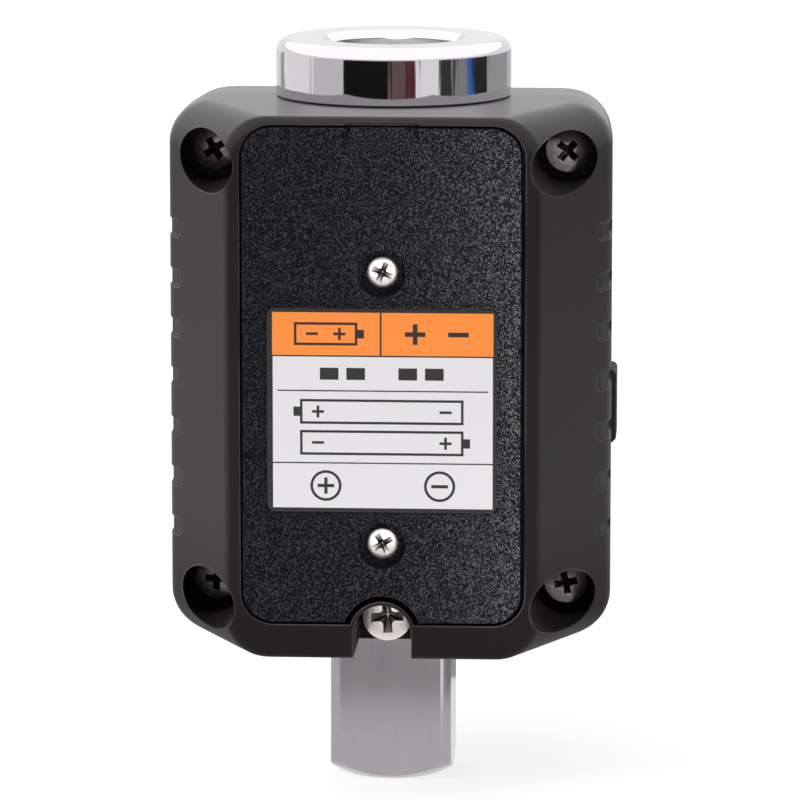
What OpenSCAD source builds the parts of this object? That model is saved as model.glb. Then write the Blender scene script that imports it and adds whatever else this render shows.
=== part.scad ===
// A digital torque meter: a steel shaft with a female square at its head and a male square at its
// foot, and a two part housing round its sensing neck, with a display and keys at the front (-Y)
// and two cells under a screwed cover at the rear (+Y). Z runs up the shaft from the male tip.

/* [Drive shaft] */
// Side of the male square
drive_side = 12.7; // [11.5:0.1:12.7]
// Rounding of the male square's long edges
drive_edge_r = 1.1; // [0.8:0.1:1.4]
// Length of the male square below the housing
drive_len = 15.9; // [14:0.1:18]
// Height of the cone that trims the male square's tip
drive_tip_h = 2; // [1.2:0.1:2.4]
// How much wider the female square is than the male one
socket_extra = 0.2; // [0.1:0.05:0.3]
// Depth of the female square
socket_depth = 16; // [14:0.1:16.4]
// Rounding of the female square's corners
socket_edge_r = 0.8; // [0.6:0.1:1.2]
// Diameter of the round mouth in front of the female square
socket_mouth_d = 14.6; // [13.8:0.1:16]
// Diameter of the bright head above the housing
head_d = 24.5; // [24.2:0.1:27]
// Height of the bright head
head_h = 6; // [4.5:0.1:8]
// Rounding of the head's upper edge
head_edge_r = 1.2; // [0.6:0.1:2]
// Diameter of the barrel round the female square
barrel_d = 20; // [19.4:0.1:20.4]
// Diameter of the sensing neck
neck_d = 13; // [11.5:0.1:13.4]
// Diameter of the journal above the male square
journal_d = 18; // [17.6:0.1:18.4]

/* [Housing] */
// Width of the housing at its widest
body_w = 46; // [45.6:0.1:49]
// Room in the housing above the battery bay
bay_head = 5.25; // [5:0.05:8]
// Distance from the shaft's axis to the rear face
rear_y = 20.5; // [20.2:0.1:23]
// Distance from the shaft's axis to the front face
front_y = 15.5; // [15.2:0.1:17]
// Width of the flat part of the rear face
rim_w = 31.6; // [31.2:0.1:33]
// Width of the flat part of the front face
face_w = 35.6; // [34.8:0.1:38]
// Height above the axis at which the rear flanks start
waist_y = 6.2; // [5:0.1:7.5]
// Rounding of the housing's four upright corners, seen from the rear
corner_r = 4.5; // [3.5:0.1:5.5]
// Rounding of the housing's front and rear edges
edge_r = 0.9; // [0.5:0.1:1.3]
// Thickness of the housing's walls
wall = 1.6; // [1.2:0.1:1.8]
// Thickness of the housing's front wall
front_wall = 2.2; // [2:0.1:2.4]
// Number of grip grooves on each side
grip_count = 7; // [5:1:8]
// Step from one grip groove to the next
grip_step = 5.23; // [4.4:0.01:5.3]
// Height of a grip groove
grip_h = 1.8; // [1.2:0.1:2.6]
// Depth of a grip groove at the waist
grip_d = 0.55; // [0.3:0.05:0.8]

/* [Battery bay] */
// Diameter of a cell
cell_d = 10.3; // [9.8:0.1:10.4]
// Length of a cell with its button
cell_len = 44.5; // [43.9:0.1:44.6]
// Distance between the two cells' axes
cell_pitch = 17.3; // [17.2:0.1:17.4]
// Length of a pressed contact spring
contact_len = 3.3; // [3:0.1:3.5]
// Width of the cover
cover_w = 28.5; // [28.4:0.1:28.8]
// Margin of the housing below the cover
cover_foot = 3.8; // [3.6:0.1:4.2]
// Thickness of the cover
cover_t = 1.6; // [1.4:0.1:1.8]
// Corner radius of the cover
cover_r = 3.1; // [2.5:0.1:3.4]
// Gap round the cover
cover_gap = 0.2; // [0.15:0.05:0.3]
// Width of the label
label_w = 23.4; // [18:0.1:23.8]
// Height of the label
label_h = 21; // [16:0.1:22]

/* [Display and keys] */
// Width of the display window
window_w = 23; // [20:0.1:24]
// Height of the display window
window_h = 12.2; // [10:0.1:12.6]
// Width of a key
key_w = 9.4; // [8:0.1:10]
// Height of a key
key_h = 5.2; // [4.4:0.1:5.4]
// Distance between the two columns of keys
key_pitch_x = 12.4; // [11.8:0.1:13]
// Distance between the two rows of keys
key_pitch_z = 7; // [6.8:0.1:7.2]
// Travel of a key
key_travel = 0.35; // [0.2:0.05:0.4]
// Corner radius of a key
key_r = 1.2; // [0.6:0.1:1.6]

/* [Fasteners] */
// Diameter of a housing screw's head
corner_head_d = 4.5; // [4:0.1:5]
// Diameter of a housing screw's thread
corner_screw_d = 2.4; // [2:0.1:2.6]
// Diameter of the wells over the housing screws
well_d = 6.4; // [5.8:0.1:6.6]
// Diameter of a cover screw's head
cover_head_d = 3.15; // [2.8:0.05:3.6]
// Diameter of a cover screw's thread
cover_screw_d = 1.8; // [1.6:0.1:2]
// Diameter of the wells over the cover screws
cover_well_d = 4.9; // [4.4:0.1:5.2]
// Diameter of the shaft screw's head
lock_head_d = 5.1; // [4.6:0.1:5.4]
// Diameter of the shaft screw's thread
lock_screw_d = 3; // [2.5:0.1:3.2]

/* [Hidden] */
$fn = 64;
cut = 1;
touch = 0.05;
slip = 0.03;
hole_clear = 0.15;
slice_t = 0.01;
slice_sides = 32;

// The bay's length sets the housing's height, and both set the shaft's
bay_foot = 2;
bay_slack = 0.2;
plate_t = 0.3;
bay_h = cell_len + contact_len + 2 * plate_t + bay_slack;
body_h = bay_foot + bay_h + bay_head;
body_z0 = drive_len;
body_z1 = body_z0 + body_h;
top_z = body_z1 + head_h;
socket_side = drive_side + socket_extra;
socket_floor = 1.6;
barrel_z0 = top_z - socket_depth - socket_floor;
shoulder_h = 2;
shoulder_step = 1.2;
shoulder_d = neck_d + 2 * shoulder_step;
journal_h = 8.4;
journal_z1 = body_z0 + journal_h;
run_gap = 0.1;
shaft_clear = 0.3;
drive_tip_slope_share = 0.6;

// Bush under the head
bush_t = 1.1;
bush_h = 3.4;
bush_d = barrel_d + 2 * (slip + bush_t);
hub_wall = 1.5;
sleeve_wall = 0.4;

// Seal ring on the journal
seal_d = 0.9;
seal_groove_d = journal_d - 2 * seal_d;
seal_groove_h = 1.2;
seal_drop = 1.9;
seal_z = journal_z1 - seal_drop;

// Detent in the male square's front side
ball_d = 4;
ball_out = 0.8;
ball_z = drive_len / 2;
ball_y = -(drive_side / 2 + ball_out - ball_d / 2);
detent_hole_d = ball_d + 2 * run_gap;
detent_hole_end = 1.8;
detent_wire_d = 0.4;
detent_coil_d = 3;
detent_turns = 5;

// Housing outline, rear half
waist_hw = body_w / 2;
rim_hw = rim_w / 2;
seam_in = 0.15;
flank_slope = (waist_hw - rim_hw) / (rear_y - waist_y);
flank_edge_share = 0.35;
edge_shares = [1, 0.45, 0.15, 0];
inner_r = corner_r - wall;
rear_backing = 0.6;
rear_wall = cover_t + rear_backing;
rear_inner_y = rear_y - rear_wall;

// Grip grooves
grip_rear_run = 2.5;
grip_front_run = 5;
grip_drop = 0.9;
grip_z = (body_z0 + body_z1) / 2 - grip_drop;
grip_front_share = 0.8;

// Housing outline, front half
face_hw = face_w / 2;
front_waist_y = 9;
front_waist_in = 0.5;
front_draft = 0.3;
front_waist_hw = waist_hw - front_waist_in;
face_drop = 1;
front_edge_r = 1.4;
front_edge_share = 0.6;
front_flank_share = 0.5;
front_wall_share = 0.2;
front_inner_y = -(front_y - front_wall);

// Wells and posts of the housing screws
post_inset_x = 4.7;
post_inset_z = 5.2;
post_x = waist_hw - post_inset_x;
post_z = [body_z0 + post_inset_z, body_z1 - post_inset_z];
post_wall = 1;
corner_seat_y = 3.3;
corner_head_h = 1.9;
corner_dome_h = 0.8;
corner_screw_len = 9;
corner_hole_d = corner_screw_d + 2 * hole_clear;
front_post_wall = 1.9;
front_post_d = corner_screw_d + 2 * front_post_wall;

// Shaft screw and the open channel that it sits in
lock_rise = 2.65;
lock_z = body_z0 + lock_rise;
lock_channel_d = 6;
lock_collar_t = 0.37;
lock_collar_d = lock_channel_d + 2 * lock_collar_t;
lock_wall_t = 0.9;
lock_floor_y = journal_d / 2 + run_gap + lock_wall_t;
lock_floor_t = 1;
lock_head_h = 1.5;
lock_dome_h = 0.4;
lock_screw_len = 6.5;
lock_hole_d = lock_screw_d + 2 * hole_clear;
lock_boss_wall = 1.3;
lock_boss_d = lock_hole_d + 2 * lock_boss_wall;
cover_notch_gap = 0.58;

// Battery bay
cell_nub_d = 3.8;
cell_nub_h = 0.8;
cell_r = cell_d / 2;
cell_x = cell_pitch / 2;
bay_side_gap = 0.15;
bay_hw = cell_x + cell_r + bay_side_gap;
bay_wall = 1.1;
cell_cover_gap = 0.25;
bay_floor_gap = 0.2;
cover_y0 = rear_y - cover_t;
cell_y = cover_y0 - cell_cover_gap - cell_r;
bay_floor_y = cell_y - cell_r - bay_floor_gap;
bay_floor_t = 1;
plate_w = 8;
plate_h = 7;
bridge_h = 4;
bay_z0 = body_z0 + bay_foot;
bay_z1 = bay_z0 + bay_h;
cell_a_z0 = bay_z0 + plate_t + contact_len;
cell_b_z1 = bay_z1 - plate_t - contact_len;
coil_wire_d = 0.6;
coil_turns = 3;
coil_d0 = 7.4;
coil_d1 = 4.6;

// Cover, its notch, its finger dip and its screws
cover_top_margin = 1.05;
cover_z1 = body_z1 - cover_top_margin;
cover_z0 = body_z0 + cover_foot;
cover_hw = cover_w / 2;
dip_hw_top = 3.4;
dip_hw_low = 4.3;
dip_h = 2.9;
dip_d = 0.6;
cover_screw_rise = 8.1;
cover_screw_drop = 14.9;
cover_screw_z = [cover_z0 + cover_screw_rise, cover_z1 - cover_screw_drop];
cover_head_h = 1.1;
cover_dome_h = 0.4;
cover_well_h = 2;
cover_seat_t = 0.8;
cover_seat_y = rear_y - cover_well_h;
cover_boss_y = cover_seat_y - cover_seat_t;
cover_boss_wall = 0.35;
cover_boss_d = cover_well_d + 2 * cover_boss_wall;
cover_screw_len = 6;
cover_hole_d = cover_screw_d + 2 * hole_clear;
bay_boss_wall = 1.4;
bay_boss_d = cover_screw_d + 2 * bay_boss_wall;
bay_boss_y = cover_boss_y - run_gap;

// Label and the shallow place that it lies in
label_t = 0.12;
label_drop = 3.3;
label_z = (cover_z0 + cover_z1) / 2 - label_drop;
label_dip = 0.3;
label_margin = 0.35;
label_sit = 0.2;
label_step = 0.5;
label_step_d = 0.12;
label_r = 0.8;

// Leads from the bay to the board
lead_d = 0.9;
lead_hole_d = 1.4;
lead_rise = 15.1;
lead_z = bay_z0 + lead_rise;
lead_out = 1.6;
lead_x = bay_hw + bay_wall + lead_out;
lead_corner = 0.85;

// Layers behind the front face
panel_dip = 0.7;
panel_t = 0.6;
panel_side = 2.4;
panel_end = 5;
panel_hw = face_hw - panel_side;
panel_z0 = body_z0 + panel_end;
panel_z1 = body_z1 - panel_end;
panel_r = 2.6;
panel_gap = 0.1;
panel_y1 = -(front_y - panel_dip);
window_t = 1;
window_ledge = 0.7;
window_y1 = panel_y1 + window_t;
window_rise = 31.2;
window_z = body_z0 + window_rise;
glass_gap = 0.1;
glass_t = 2;
glass_rim = 1.1;
glass_w = window_w + 2 * glass_rim;
glass_h = window_h + 2 * glass_rim;
glass_y0 = front_inner_y + glass_gap;
glass_y1 = glass_y0 + glass_t;
strip_t = 1.6;
strip_h = 1.4;
frame_t = 0.9;
frame_gap = 0.1;
light_end = 1.5;
light_gap = 0.3;
light_t = 1;
light_w = glass_w - 2 * light_end;
light_h = glass_h - 2 * strip_h - 2 * light_gap;
board_t = 1.2;
board_y0 = glass_y1 + strip_t;
board_y1 = board_y0 + board_t;

// Keys
key_out = 0.6;
key_flange = 0.6;
key_flange_t = 0.8;
key_gap = 0.15;
key_seat_gap = 0.05;
key_y0 = -(front_y + key_out);
key_flange_y0 = front_inner_y + key_seat_gap;
key_rise = 12.6;
key_row_z = body_z0 + key_rise;
key_stem_d = 2.4;
dome_d = 4.6;
dome_top_d = 2.4;
dome_h = 0.35;
stem_gap = 0.1;
stem_y1 = board_y0 - dome_h - key_travel - stem_gap;
KEY_PLACES = [[1, 1], [-1, 1], [1, 0], [-1, 0]];

// Indicator lights
lamp_d = 2.4;
lamp_gap = 0.1;
lamp_pitch = 6;
lamp_rise = 3.5;
lamp_z = window_z + window_h / 2 + lamp_rise;
lamp_dip = 0.25;
lamp_y0 = -(front_y - lamp_dip);
lamp_lead_d = 1.2;

// Board and what it carries
board_side = 3.9;
board_foot = 1.4;
board_head = 1.7;
board_hw = waist_hw - board_side;
board_z0 = journal_z1 + board_foot;
board_post_side = 2.6;
board_post_end = 3.2;
board_post_d = 4;
board_post_gap = 0.3;
board_post_x = board_hw - board_post_side;
frame_z1 = window_z + glass_h / 2 + frame_gap + frame_t;
board_post_z = [board_z0 + board_post_end, frame_z1 + board_post_gap + board_post_d / 2];
board_z1 = board_post_z[1] + board_head;
board_screw_d = 1.6;
board_screw_len = 3;
board_head_d = 3.2;
board_head_h = 1.3;
board_dome_h = 0.4;
chip_t = 1.1;
buzzer_d = 8.4;
buzzer_h = 2.6;
buzzer_side = 1.6;
buzzer_rise = 29;
buzzer_x = board_hw - buzzer_side - buzzer_d / 2;
buzzer_z = body_z0 + buzzer_rise;
buzzer_hole_d = 1.2;

// Signal jack and its rubber cover on the -X side
jack_w = 6.4;
jack_out = 3.8;
jack_wall_gap = 0.7;
jack_y = board_y1 + jack_out;
jack_rise = 22.8;
jack_z = body_z0 + jack_rise;
jack_bore_d = 3.6;
jack_bore_len = 8;
jack_x0 = -(waist_hw - wall - jack_wall_gap);
jack_len = 9.2;
jack_y1 = board_y1 + jack_w;
port_hole_d = 5.2;
port_dip = 0.7;
port_w = 6;
port_h = 7.7;
port_r = 0.15;
port_gap = 0.2;
port_out = 0.45;
port_face_x = waist_hw - seam_in;
port_bead_r = (port_out + port_dip - touch) / 2;
port_pivot_z = jack_z + port_h / 2 - port_bead_r;
port_slant = 0.4;
port_plug_d = 3;
port_plug_len = 0.9;

// Strain gauges and their ribbon
gauge_t = 0.12;
gauge_h = 7;
gauge_deg = 40;
gauge_z = (journal_z1 + barrel_z0) / 2;
ribbon_w = 3;
ribbon_t = 0.12;
ribbon_foot = 2.6;
ribbon_rise = 5;

// Proportions of a cross recess and steps of a swept coil
cross_len_share = 0.6;
cross_width_share = 0.17;
cross_depth_share = 0.6;
coil_sides = 6;
coil_steps = 12;

// Outline helpers
function round_in(r, d) = r - sqrt(max(0, r * r - (r - d) * (r - d)));
function flank_x(y) = rim_hw + (rear_y - y) * flank_slope;
function rear_section(s) = let(d = s * edge_r, i = round_in(edge_r, d))
    [rear_y - d, flank_x(rear_y - d) - i * flank_edge_share, body_z0 + i, body_z1 - i, corner_r];
function rear_sections() = concat(
    [[0, waist_hw - seam_in, body_z0, body_z1, corner_r],
     [waist_y, waist_hw, body_z0, body_z1, corner_r]],
    [for (s = edge_shares) rear_section(s)]);
function rear_inner_sections() =
    [[-cut, waist_hw - seam_in - wall, body_z0 + wall, body_z1 - wall, inner_r],
     [waist_y, waist_hw - wall, body_z0 + wall, body_z1 - wall, inner_r],
     [rear_inner_y, flank_x(rear_inner_y) - wall, body_z0 + wall, body_z1 - wall, inner_r]];
function front_section(s) = let(d = s * front_edge_r, i = round_in(front_edge_r, d))
    [d - front_y, face_hw - i * front_edge_share + d * front_flank_share, body_z0 + face_drop + i,
     body_z1 - face_drop - i, corner_r];
function front_sections() = concat(
    [for (s = edge_shares) front_section(s)],
    [[-front_waist_y, front_waist_hw, body_z0 + front_draft, body_z1 - front_draft, corner_r],
     [-slice_t, waist_hw - seam_in, body_z0, body_z1, corner_r]]);
function front_inner_sections() =
    [[front_inner_y, face_hw - wall * front_wall_share, body_z0 + face_drop + wall,
      body_z1 - face_drop - wall, inner_r],
     [-front_waist_y, front_waist_hw - wall, body_z0 + front_draft + wall,
      body_z1 - front_draft - wall, inner_r],
     [cut, waist_hw - seam_in - wall, body_z0 + wall, body_z1 - wall, inner_r]];

// Hull of thin slices, each given as its place, half width, lower and upper end and corner radius
module shell_form(sections) hull()
    for (s = sections, x = [s[4] - s[1], s[1] - s[4]], z = [s[2] + s[4], s[3] - s[4]])
        translate([x, s[0], z]) rotate([-90, 0, 0])
            cylinder(r = s[4], h = slice_t, $fn = slice_sides);

// Basic solids that are placed by their ends
module y_rod(r, y0, y1) translate([0, y0, 0]) rotate([-90, 0, 0]) cylinder(r = r, h = y1 - y0);
module x_rod(r, x0, x1) translate([x0, 0, 0]) rotate([0, 90, 0]) cylinder(r = r, h = x1 - x0);
module z_rod(r, z0, z1) translate([0, 0, z0]) cylinder(r = r, h = z1 - z0);
module block(x0, x1, y0, y1, z0, z1) translate([x0, y0, z0]) cube([x1 - x0, y1 - y0, z1 - z0]);
module round_rect(x0, x1, z0, z1, r) {
    translate([x0 + r, z0]) square([x1 - x0 - 2 * r, z1 - z0]);
    translate([x0, z0 + r]) square([x1 - x0, z1 - z0 - 2 * r]);
    for (x = [x0 + r, x1 - r], z = [z0 + r, z1 - r]) translate([x, z]) circle(r = r);
}
module plate(hw, y0, y1, z0, z1, r) translate([0, y1, 0]) rotate([90, 0, 0])
    linear_extrude(y1 - y0) round_rect(-hw, hw, z0, z1, r);
module tube_z(r0, r1, z0, z1) difference() {
    z_rod(r1, z0, z1);
    z_rod(r0, z0 - cut, z1 + cut);
}

// A screw with a low domed head and a cross recess, its seat at the origin and its head towards +Y
module screw(head_d, head_h, dome_h, thread_d, len) {
    dome_r = (head_d * head_d / 4 + dome_h * dome_h) / (2 * dome_h);
    cross_l = head_d * cross_len_share;
    cross_w = head_d * cross_width_share;
    cross_h = head_h * cross_depth_share;
    difference() {
        union() {
            intersection() {
                y_rod(head_d / 2, 0, head_h);
                translate([0, head_h - dome_r, 0]) sphere(r = dome_r);
            }
            y_rod(thread_d / 2, -len, head_h / 2);
        }
        for (a = [0, 90]) rotate([0, a, 0])
            block(-cross_l / 2, cross_l / 2, head_h - cross_h, head_h + cut, -cross_w / 2, cross_w / 2);
    }
}

// A coil of one unbroken wire along Z, from radius r0 at z0 to radius r1 at z1
function coil_point(r0, r1, z0, z1, turns, t, a, w) =
    let(r = r0 + (r1 - r0) * t + w * cos(a), g = 360 * turns * t)
    [r * cos(g), r * sin(g), z0 + (z1 - z0) * t + w * sin(a)];
module coil(d0, d1, z0, z1, turns, wire_d) {
    n = turns * coil_steps;
    w = wire_d / 2;
    pts = [for (i = [0:n], j = [0:coil_sides - 1])
        coil_point(d0 / 2 - w, d1 / 2 - w, z0 + w, z1 - w, turns, i / n, 360 * j / coil_sides, w)];
    sides = [for (i = [0:n - 1], j = [0:coil_sides - 1])
        let(a = i * coil_sides + j, b = i * coil_sides + (j + 1) % coil_sides, c = a + coil_sides,
            d = b + coil_sides) each [[a, c, b], [b, c, d]]];
    ends = [for (j = [1:coil_sides - 2]) each
        [[0, j, j + 1], [n * coil_sides, n * coil_sides + j + 1, n * coil_sides + j]]];
    polyhedron(points = pts, faces = concat(sides, ends));
}

// Square rod along Z with rounded long edges
module square_rod(side, r, z0, z1) translate([0, 0, z0]) linear_extrude(z1 - z0)
    round_rect(-side / 2, side / 2, -side / 2, side / 2, r);

// One steel piece from the bright head to the male tip
module torque_shaft() color("silver") difference() {
    rotate_extrude() {
        square([head_d / 2 - head_edge_r, top_z]);
        square([head_d / 2, top_z - head_edge_r]);
        translate([head_d / 2 - head_edge_r, top_z - head_edge_r]) circle(r = head_edge_r);
    }
    shaft_waste();
    shaft_socket();
    translate([0, 0, ball_z]) y_rod(detent_hole_d / 2, -drive_side, detent_hole_end);
    translate([0, 0, lock_z]) y_rod(lock_screw_d / 2 + slip, journal_d / 2 - lock_screw_len, journal_d);
}
// What the lathe and the mill take off the bar below the head
module shaft_waste() {
    bar_r = head_d;
    shaft_ring(barrel_d / 2, bar_r, barrel_z0, body_z1);
    shaft_ring(shoulder_d / 2, bar_r, barrel_z0 - shoulder_h, barrel_z0);
    shaft_ring(neck_d / 2, bar_r, journal_z1, barrel_z0 - shoulder_h);
    shaft_ring(journal_d / 2, bar_r, body_z0, journal_z1);
    shaft_ring(seal_groove_d / 2, bar_r, seal_z - seal_groove_h / 2, seal_z + seal_groove_h / 2);
    difference() {
        z_rod(bar_r, -cut, body_z0);
        square_rod(drive_side, drive_edge_r, -2 * cut, body_z0 + cut);
    }
    difference() {
        z_rod(bar_r, -cut, drive_tip_h);
        drive_cone();
    }
}
// The cone that bounds the male square's tip
module drive_cone() {
    tip_reach = drive_side / 2 * sqrt(2);
    tip_r = tip_reach - drive_tip_h / drive_tip_slope_share;
    rotate_extrude() polygon([[0, -2 * cut], [tip_r, -2 * cut], [tip_r, 0], [tip_reach, drive_tip_h],
        [tip_reach, 2 * drive_tip_h], [0, 2 * drive_tip_h]]);
}
module shaft_ring(r0, r1, z0, z1) tube_z(r0, r1, z0, z1);
// The female square with its round, sloped mouth
module shaft_socket() {
    mouth_h = (socket_mouth_d - socket_side) / 2;
    square_rod(socket_side, socket_edge_r, top_z - socket_depth, top_z + cut);
    rotate_extrude() polygon([[0, top_z + cut], [0, top_z - mouth_h], [socket_side / 2, top_z - mouth_h],
        [socket_mouth_d / 2, top_z], [socket_mouth_d / 2, top_z + cut]]);
}

module upper_bush() color("ivory")
    tube_z(barrel_d / 2 + slip, bush_d / 2, body_z1 - bush_h, body_z1 - touch);

module lower_seal() color("dimgray") translate([0, 0, seal_z]) rotate_extrude()
    translate([journal_d / 2 + run_gap - touch - seal_d / 2, 0]) circle(d = seal_d);

// Places of the four housing screws
module at_posts() for (x = [-post_x, post_x], z = post_z) translate([x, 0, z]) children();
module at_cover_screws() for (z = cover_screw_z) translate([0, 0, z]) children();

// Space round the shaft that both shells leave free
module shaft_space() {
    z_rod(journal_d / 2 + run_gap, body_z0 - cut, journal_z1 + cut);
    z_rod(barrel_d / 2 + shaft_clear, barrel_z0 - shoulder_h - shaft_clear, body_z1 - bush_h + touch);
    z_rod(bush_d / 2 + slip, body_z1 - bush_h, body_z1 + cut);
}
module shaft_bosses() {
    z_rod(journal_d / 2 + run_gap + lock_boss_wall, body_z0, journal_z1);
    z_rod(bush_d / 2 + hub_wall, body_z1 - bush_h - hub_wall, body_z1);
}
// Short scoops across the housing's widest edge
module grips() {
    y0 = waist_y - grip_front_run;
    y1 = waist_y + grip_rear_run;
    for (side = [0, 1], i = [0:grip_count - 1]) mirror([side, 0, 0])
        translate([0, 0, grip_z + (i - (grip_count - 1) / 2) * grip_step - grip_h / 2])
            linear_extrude(grip_h) polygon([[waist_hw - grip_d, waist_y],
                [waist_hw - grip_d * grip_front_share, y0], [waist_hw + cut, y0], [waist_hw + cut, y1],
                [flank_x(y1), y1]]);
}

// Rear half of the housing with the battery bay moulded in it
module rear_shell() color([0.16, 0.16, 0.17]) difference() {
    shell_form(rear_sections());
    difference() {
        shell_form(rear_inner_sections());
        bay_block();
        at_posts() y_rod(well_d / 2 + post_wall, 0, rear_y);
        shaft_bosses();
        lock_boss();
    }
    difference() {
        bay_space();
        shaft_bosses();
        z_rod(barrel_d / 2 + shaft_clear + sleeve_wall,
            barrel_z0 - shoulder_h - shaft_clear - sleeve_wall, body_z1);
        at_cover_screws() y_rod(bay_boss_d / 2, 0, bay_boss_y);
        lock_boss();
    }
    difference() {
        plate(cover_hw + cover_gap, cover_y0, rear_y + cut, cover_z0 - cover_gap, cover_z1 + cover_gap,
            cover_r + cover_gap);
        lock_boss();
    }
    at_posts() {
        y_rod(well_d / 2, corner_seat_y, rear_y + cut);
        y_rod(corner_hole_d / 2, -cut, rear_y);
    }
    at_cover_screws() y_rod(cover_screw_d / 2 + slip, bay_boss_y - cover_screw_len, rear_y);
    lock_channel();
    shaft_space();
    grips();
    for (x = [-lead_x, bay_hw - bay_wall]) translate([0, bay_floor_y + lead_corner, lead_z])
        x_rod(lead_hole_d / 2, x, x + lead_x - bay_hw + bay_wall);
}
module bay_block() block(-bay_hw - bay_wall, bay_hw + bay_wall, bay_floor_y - bay_floor_t, rear_y,
    bay_z0 - bay_wall, bay_z1 + bay_wall);
module bay_space() block(-bay_hw, bay_hw, bay_floor_y, cover_y0 + touch, bay_z0, bay_z1);
module lock_boss() translate([0, 0, lock_z]) {
    y_rod(lock_boss_d / 2, 0, lock_floor_y);
    y_rod(lock_collar_d / 2, lock_floor_y - lock_floor_t, rear_y + cut);
}
module lock_channel() {
    channel_r = lock_channel_d / 2;
    translate([0, 0, lock_z]) {
        y_rod(channel_r, lock_floor_y, rear_y + cut);
        y_rod(lock_hole_d / 2, 0, rear_y);
    }
    block(-channel_r, channel_r, lock_floor_y, rear_y + cut, body_z0 - cut, lock_z);
}

module battery_cover() color([0.12, 0.12, 0.13]) difference() {
    union() {
        plate(cover_hw, cover_y0, rear_y, cover_z0, cover_z1, cover_r);
        at_cover_screws() y_rod(cover_boss_d / 2, cover_boss_y, rear_y - cover_t / 2);
    }
    at_cover_screws() {
        y_rod(cover_well_d / 2, cover_seat_y, rear_y + cut);
        y_rod(cover_hole_d / 2, 0, rear_y);
    }
    translate([0, 0, lock_z])
        y_rod(lock_collar_d / 2 + cover_notch_gap, 0, rear_y + cut);
    label_cut(label_margin, label_dip);
    label_cut(label_margin + label_step, label_step_d);
    finger_dip();
}
module label_cut(margin, depth) plate(label_w / 2 + margin, rear_y - depth, rear_y + cut,
    label_z - label_h / 2 - margin, label_z + label_h / 2 + margin, label_r + margin);
module finger_dip() translate([0, rear_y, cover_z1 - dip_h]) rotate([atan2(dip_d, dip_h), 0, 0])
    translate([0, 2 * cut, 0]) rotate([90, 0, 0]) linear_extrude(2 * cut)
        polygon([[-dip_hw_low, 0], [dip_hw_low, 0], [dip_hw_top, 2 * dip_h], [-dip_hw_top, 2 * dip_h]]);

module battery_label() color("orange")
    plate(label_w / 2, rear_y - label_dip, rear_y - label_dip + label_t,
        label_z - label_sit - label_h / 2, label_z - label_sit + label_h / 2, label_r);

module cover_screws() color("silver") at_cover_screws() translate([0, cover_seat_y, 0])
    screw(cover_head_d, cover_head_h, cover_dome_h, cover_screw_d, cover_screw_len);
module corner_screws() color("silver") at_posts() translate([0, corner_seat_y, 0])
    screw(corner_head_d, corner_head_h, corner_dome_h, corner_screw_d, corner_screw_len);
module shaft_screw() color("silver") translate([0, lock_floor_y, lock_z])
    screw(lock_head_d, lock_head_h, lock_dome_h, lock_screw_d, lock_screw_len);

// A cell that stands on its flat end, with its button up
module cell() {
    z_rod(cell_r, 0, cell_len - cell_nub_h);
    z_rod(cell_nub_d / 2, 0, cell_len);
}
module cell_a() color("goldenrod") translate([cell_x, cell_y, cell_a_z0]) cell();
module cell_b() color("goldenrod") translate([-cell_x, cell_y, cell_b_z1]) mirror([0, 0, 1]) cell();

module contact_springs() color("silver") {
    translate([cell_x, cell_y, 0])
        coil(coil_d0, coil_d1, bay_z0 + plate_t, cell_a_z0 - slip, coil_turns, coil_wire_d);
    translate([-cell_x, cell_y, 0]) translate([0, 0, bay_z0 + bay_z1]) mirror([0, 0, 1])
        coil(coil_d0, coil_d1, bay_z0 + plate_t, cell_a_z0 - slip, coil_turns, coil_wire_d);
}
module terminal_plates() color("gold") {
    for (x = [-cell_x, cell_x]) block(x - plate_w / 2, x + plate_w / 2, cell_y - plate_h / 2,
        cell_y + plate_h / 2, bay_z0, bay_z0 + plate_t);
    for (x = [-cell_x, cell_x]) block(x - plate_w / 2, x + plate_w / 2, cell_y - plate_h / 2,
        cell_y + plate_h / 2, bay_z1 - plate_t, bay_z1);
    block(-cell_x, cell_x, cell_y - bridge_h / 2, cell_y + bridge_h / 2, bay_z1 - plate_t, bay_z1);
}

// A round lead through a list of places
module lead(points) for (i = [0:len(points) - 2]) {
    a = points[i];
    v = points[i + 1] - a;
    translate(a) {
        rotate([0, acos(v[2] / norm(v)), atan2(v[1], v[0])]) cylinder(d = lead_d, h = norm(v));
        if (i > 0) sphere(d = lead_d);
    }
}
module battery_leads() for (side = [-1, 1]) color(side < 0 ? "red" : "black") {
    x0 = side * (bay_hw - lead_corner);
    y0 = bay_floor_y + lead_corner;
    x1 = side * lead_x;
    lead([[x0, y0, bay_z0], [x0, y0, lead_z], [x1, y0, lead_z], [x1, board_y1, lead_z]]);
}

// Front half of the housing
module front_shell() color([0.16, 0.16, 0.17]) difference() {
    shell_form(front_sections());
    difference() {
        shell_form(front_inner_sections());
        at_posts() y_rod(front_post_d / 2, -front_y, 0);
        at_board_posts() y_rod(board_post_d / 2, -front_y, board_y0);
        shaft_bosses();
    }
    shaft_space();
    at_posts() y_rod(corner_screw_d / 2 + slip, corner_seat_y - corner_screw_len, cut);
    at_board_posts() y_rod(board_screw_d / 2 + slip, board_y1 - board_screw_len - touch, board_y1);
    plate(panel_hw + panel_gap, -front_y - cut, panel_y1, panel_z0 - panel_gap, panel_z1 + panel_gap,
        panel_r + panel_gap);
    window_cut(0, front_y);
    window_cut(window_ledge, -window_y1);
    front_holes();
    translate([0, jack_y, jack_z]) x_rod(port_hole_d / 2, -body_w, jack_x0);
    port_recess();
}
module at_board_posts() for (x = [-board_post_x, board_post_x], z = board_post_z)
    translate([x, 0, z]) children();
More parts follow.
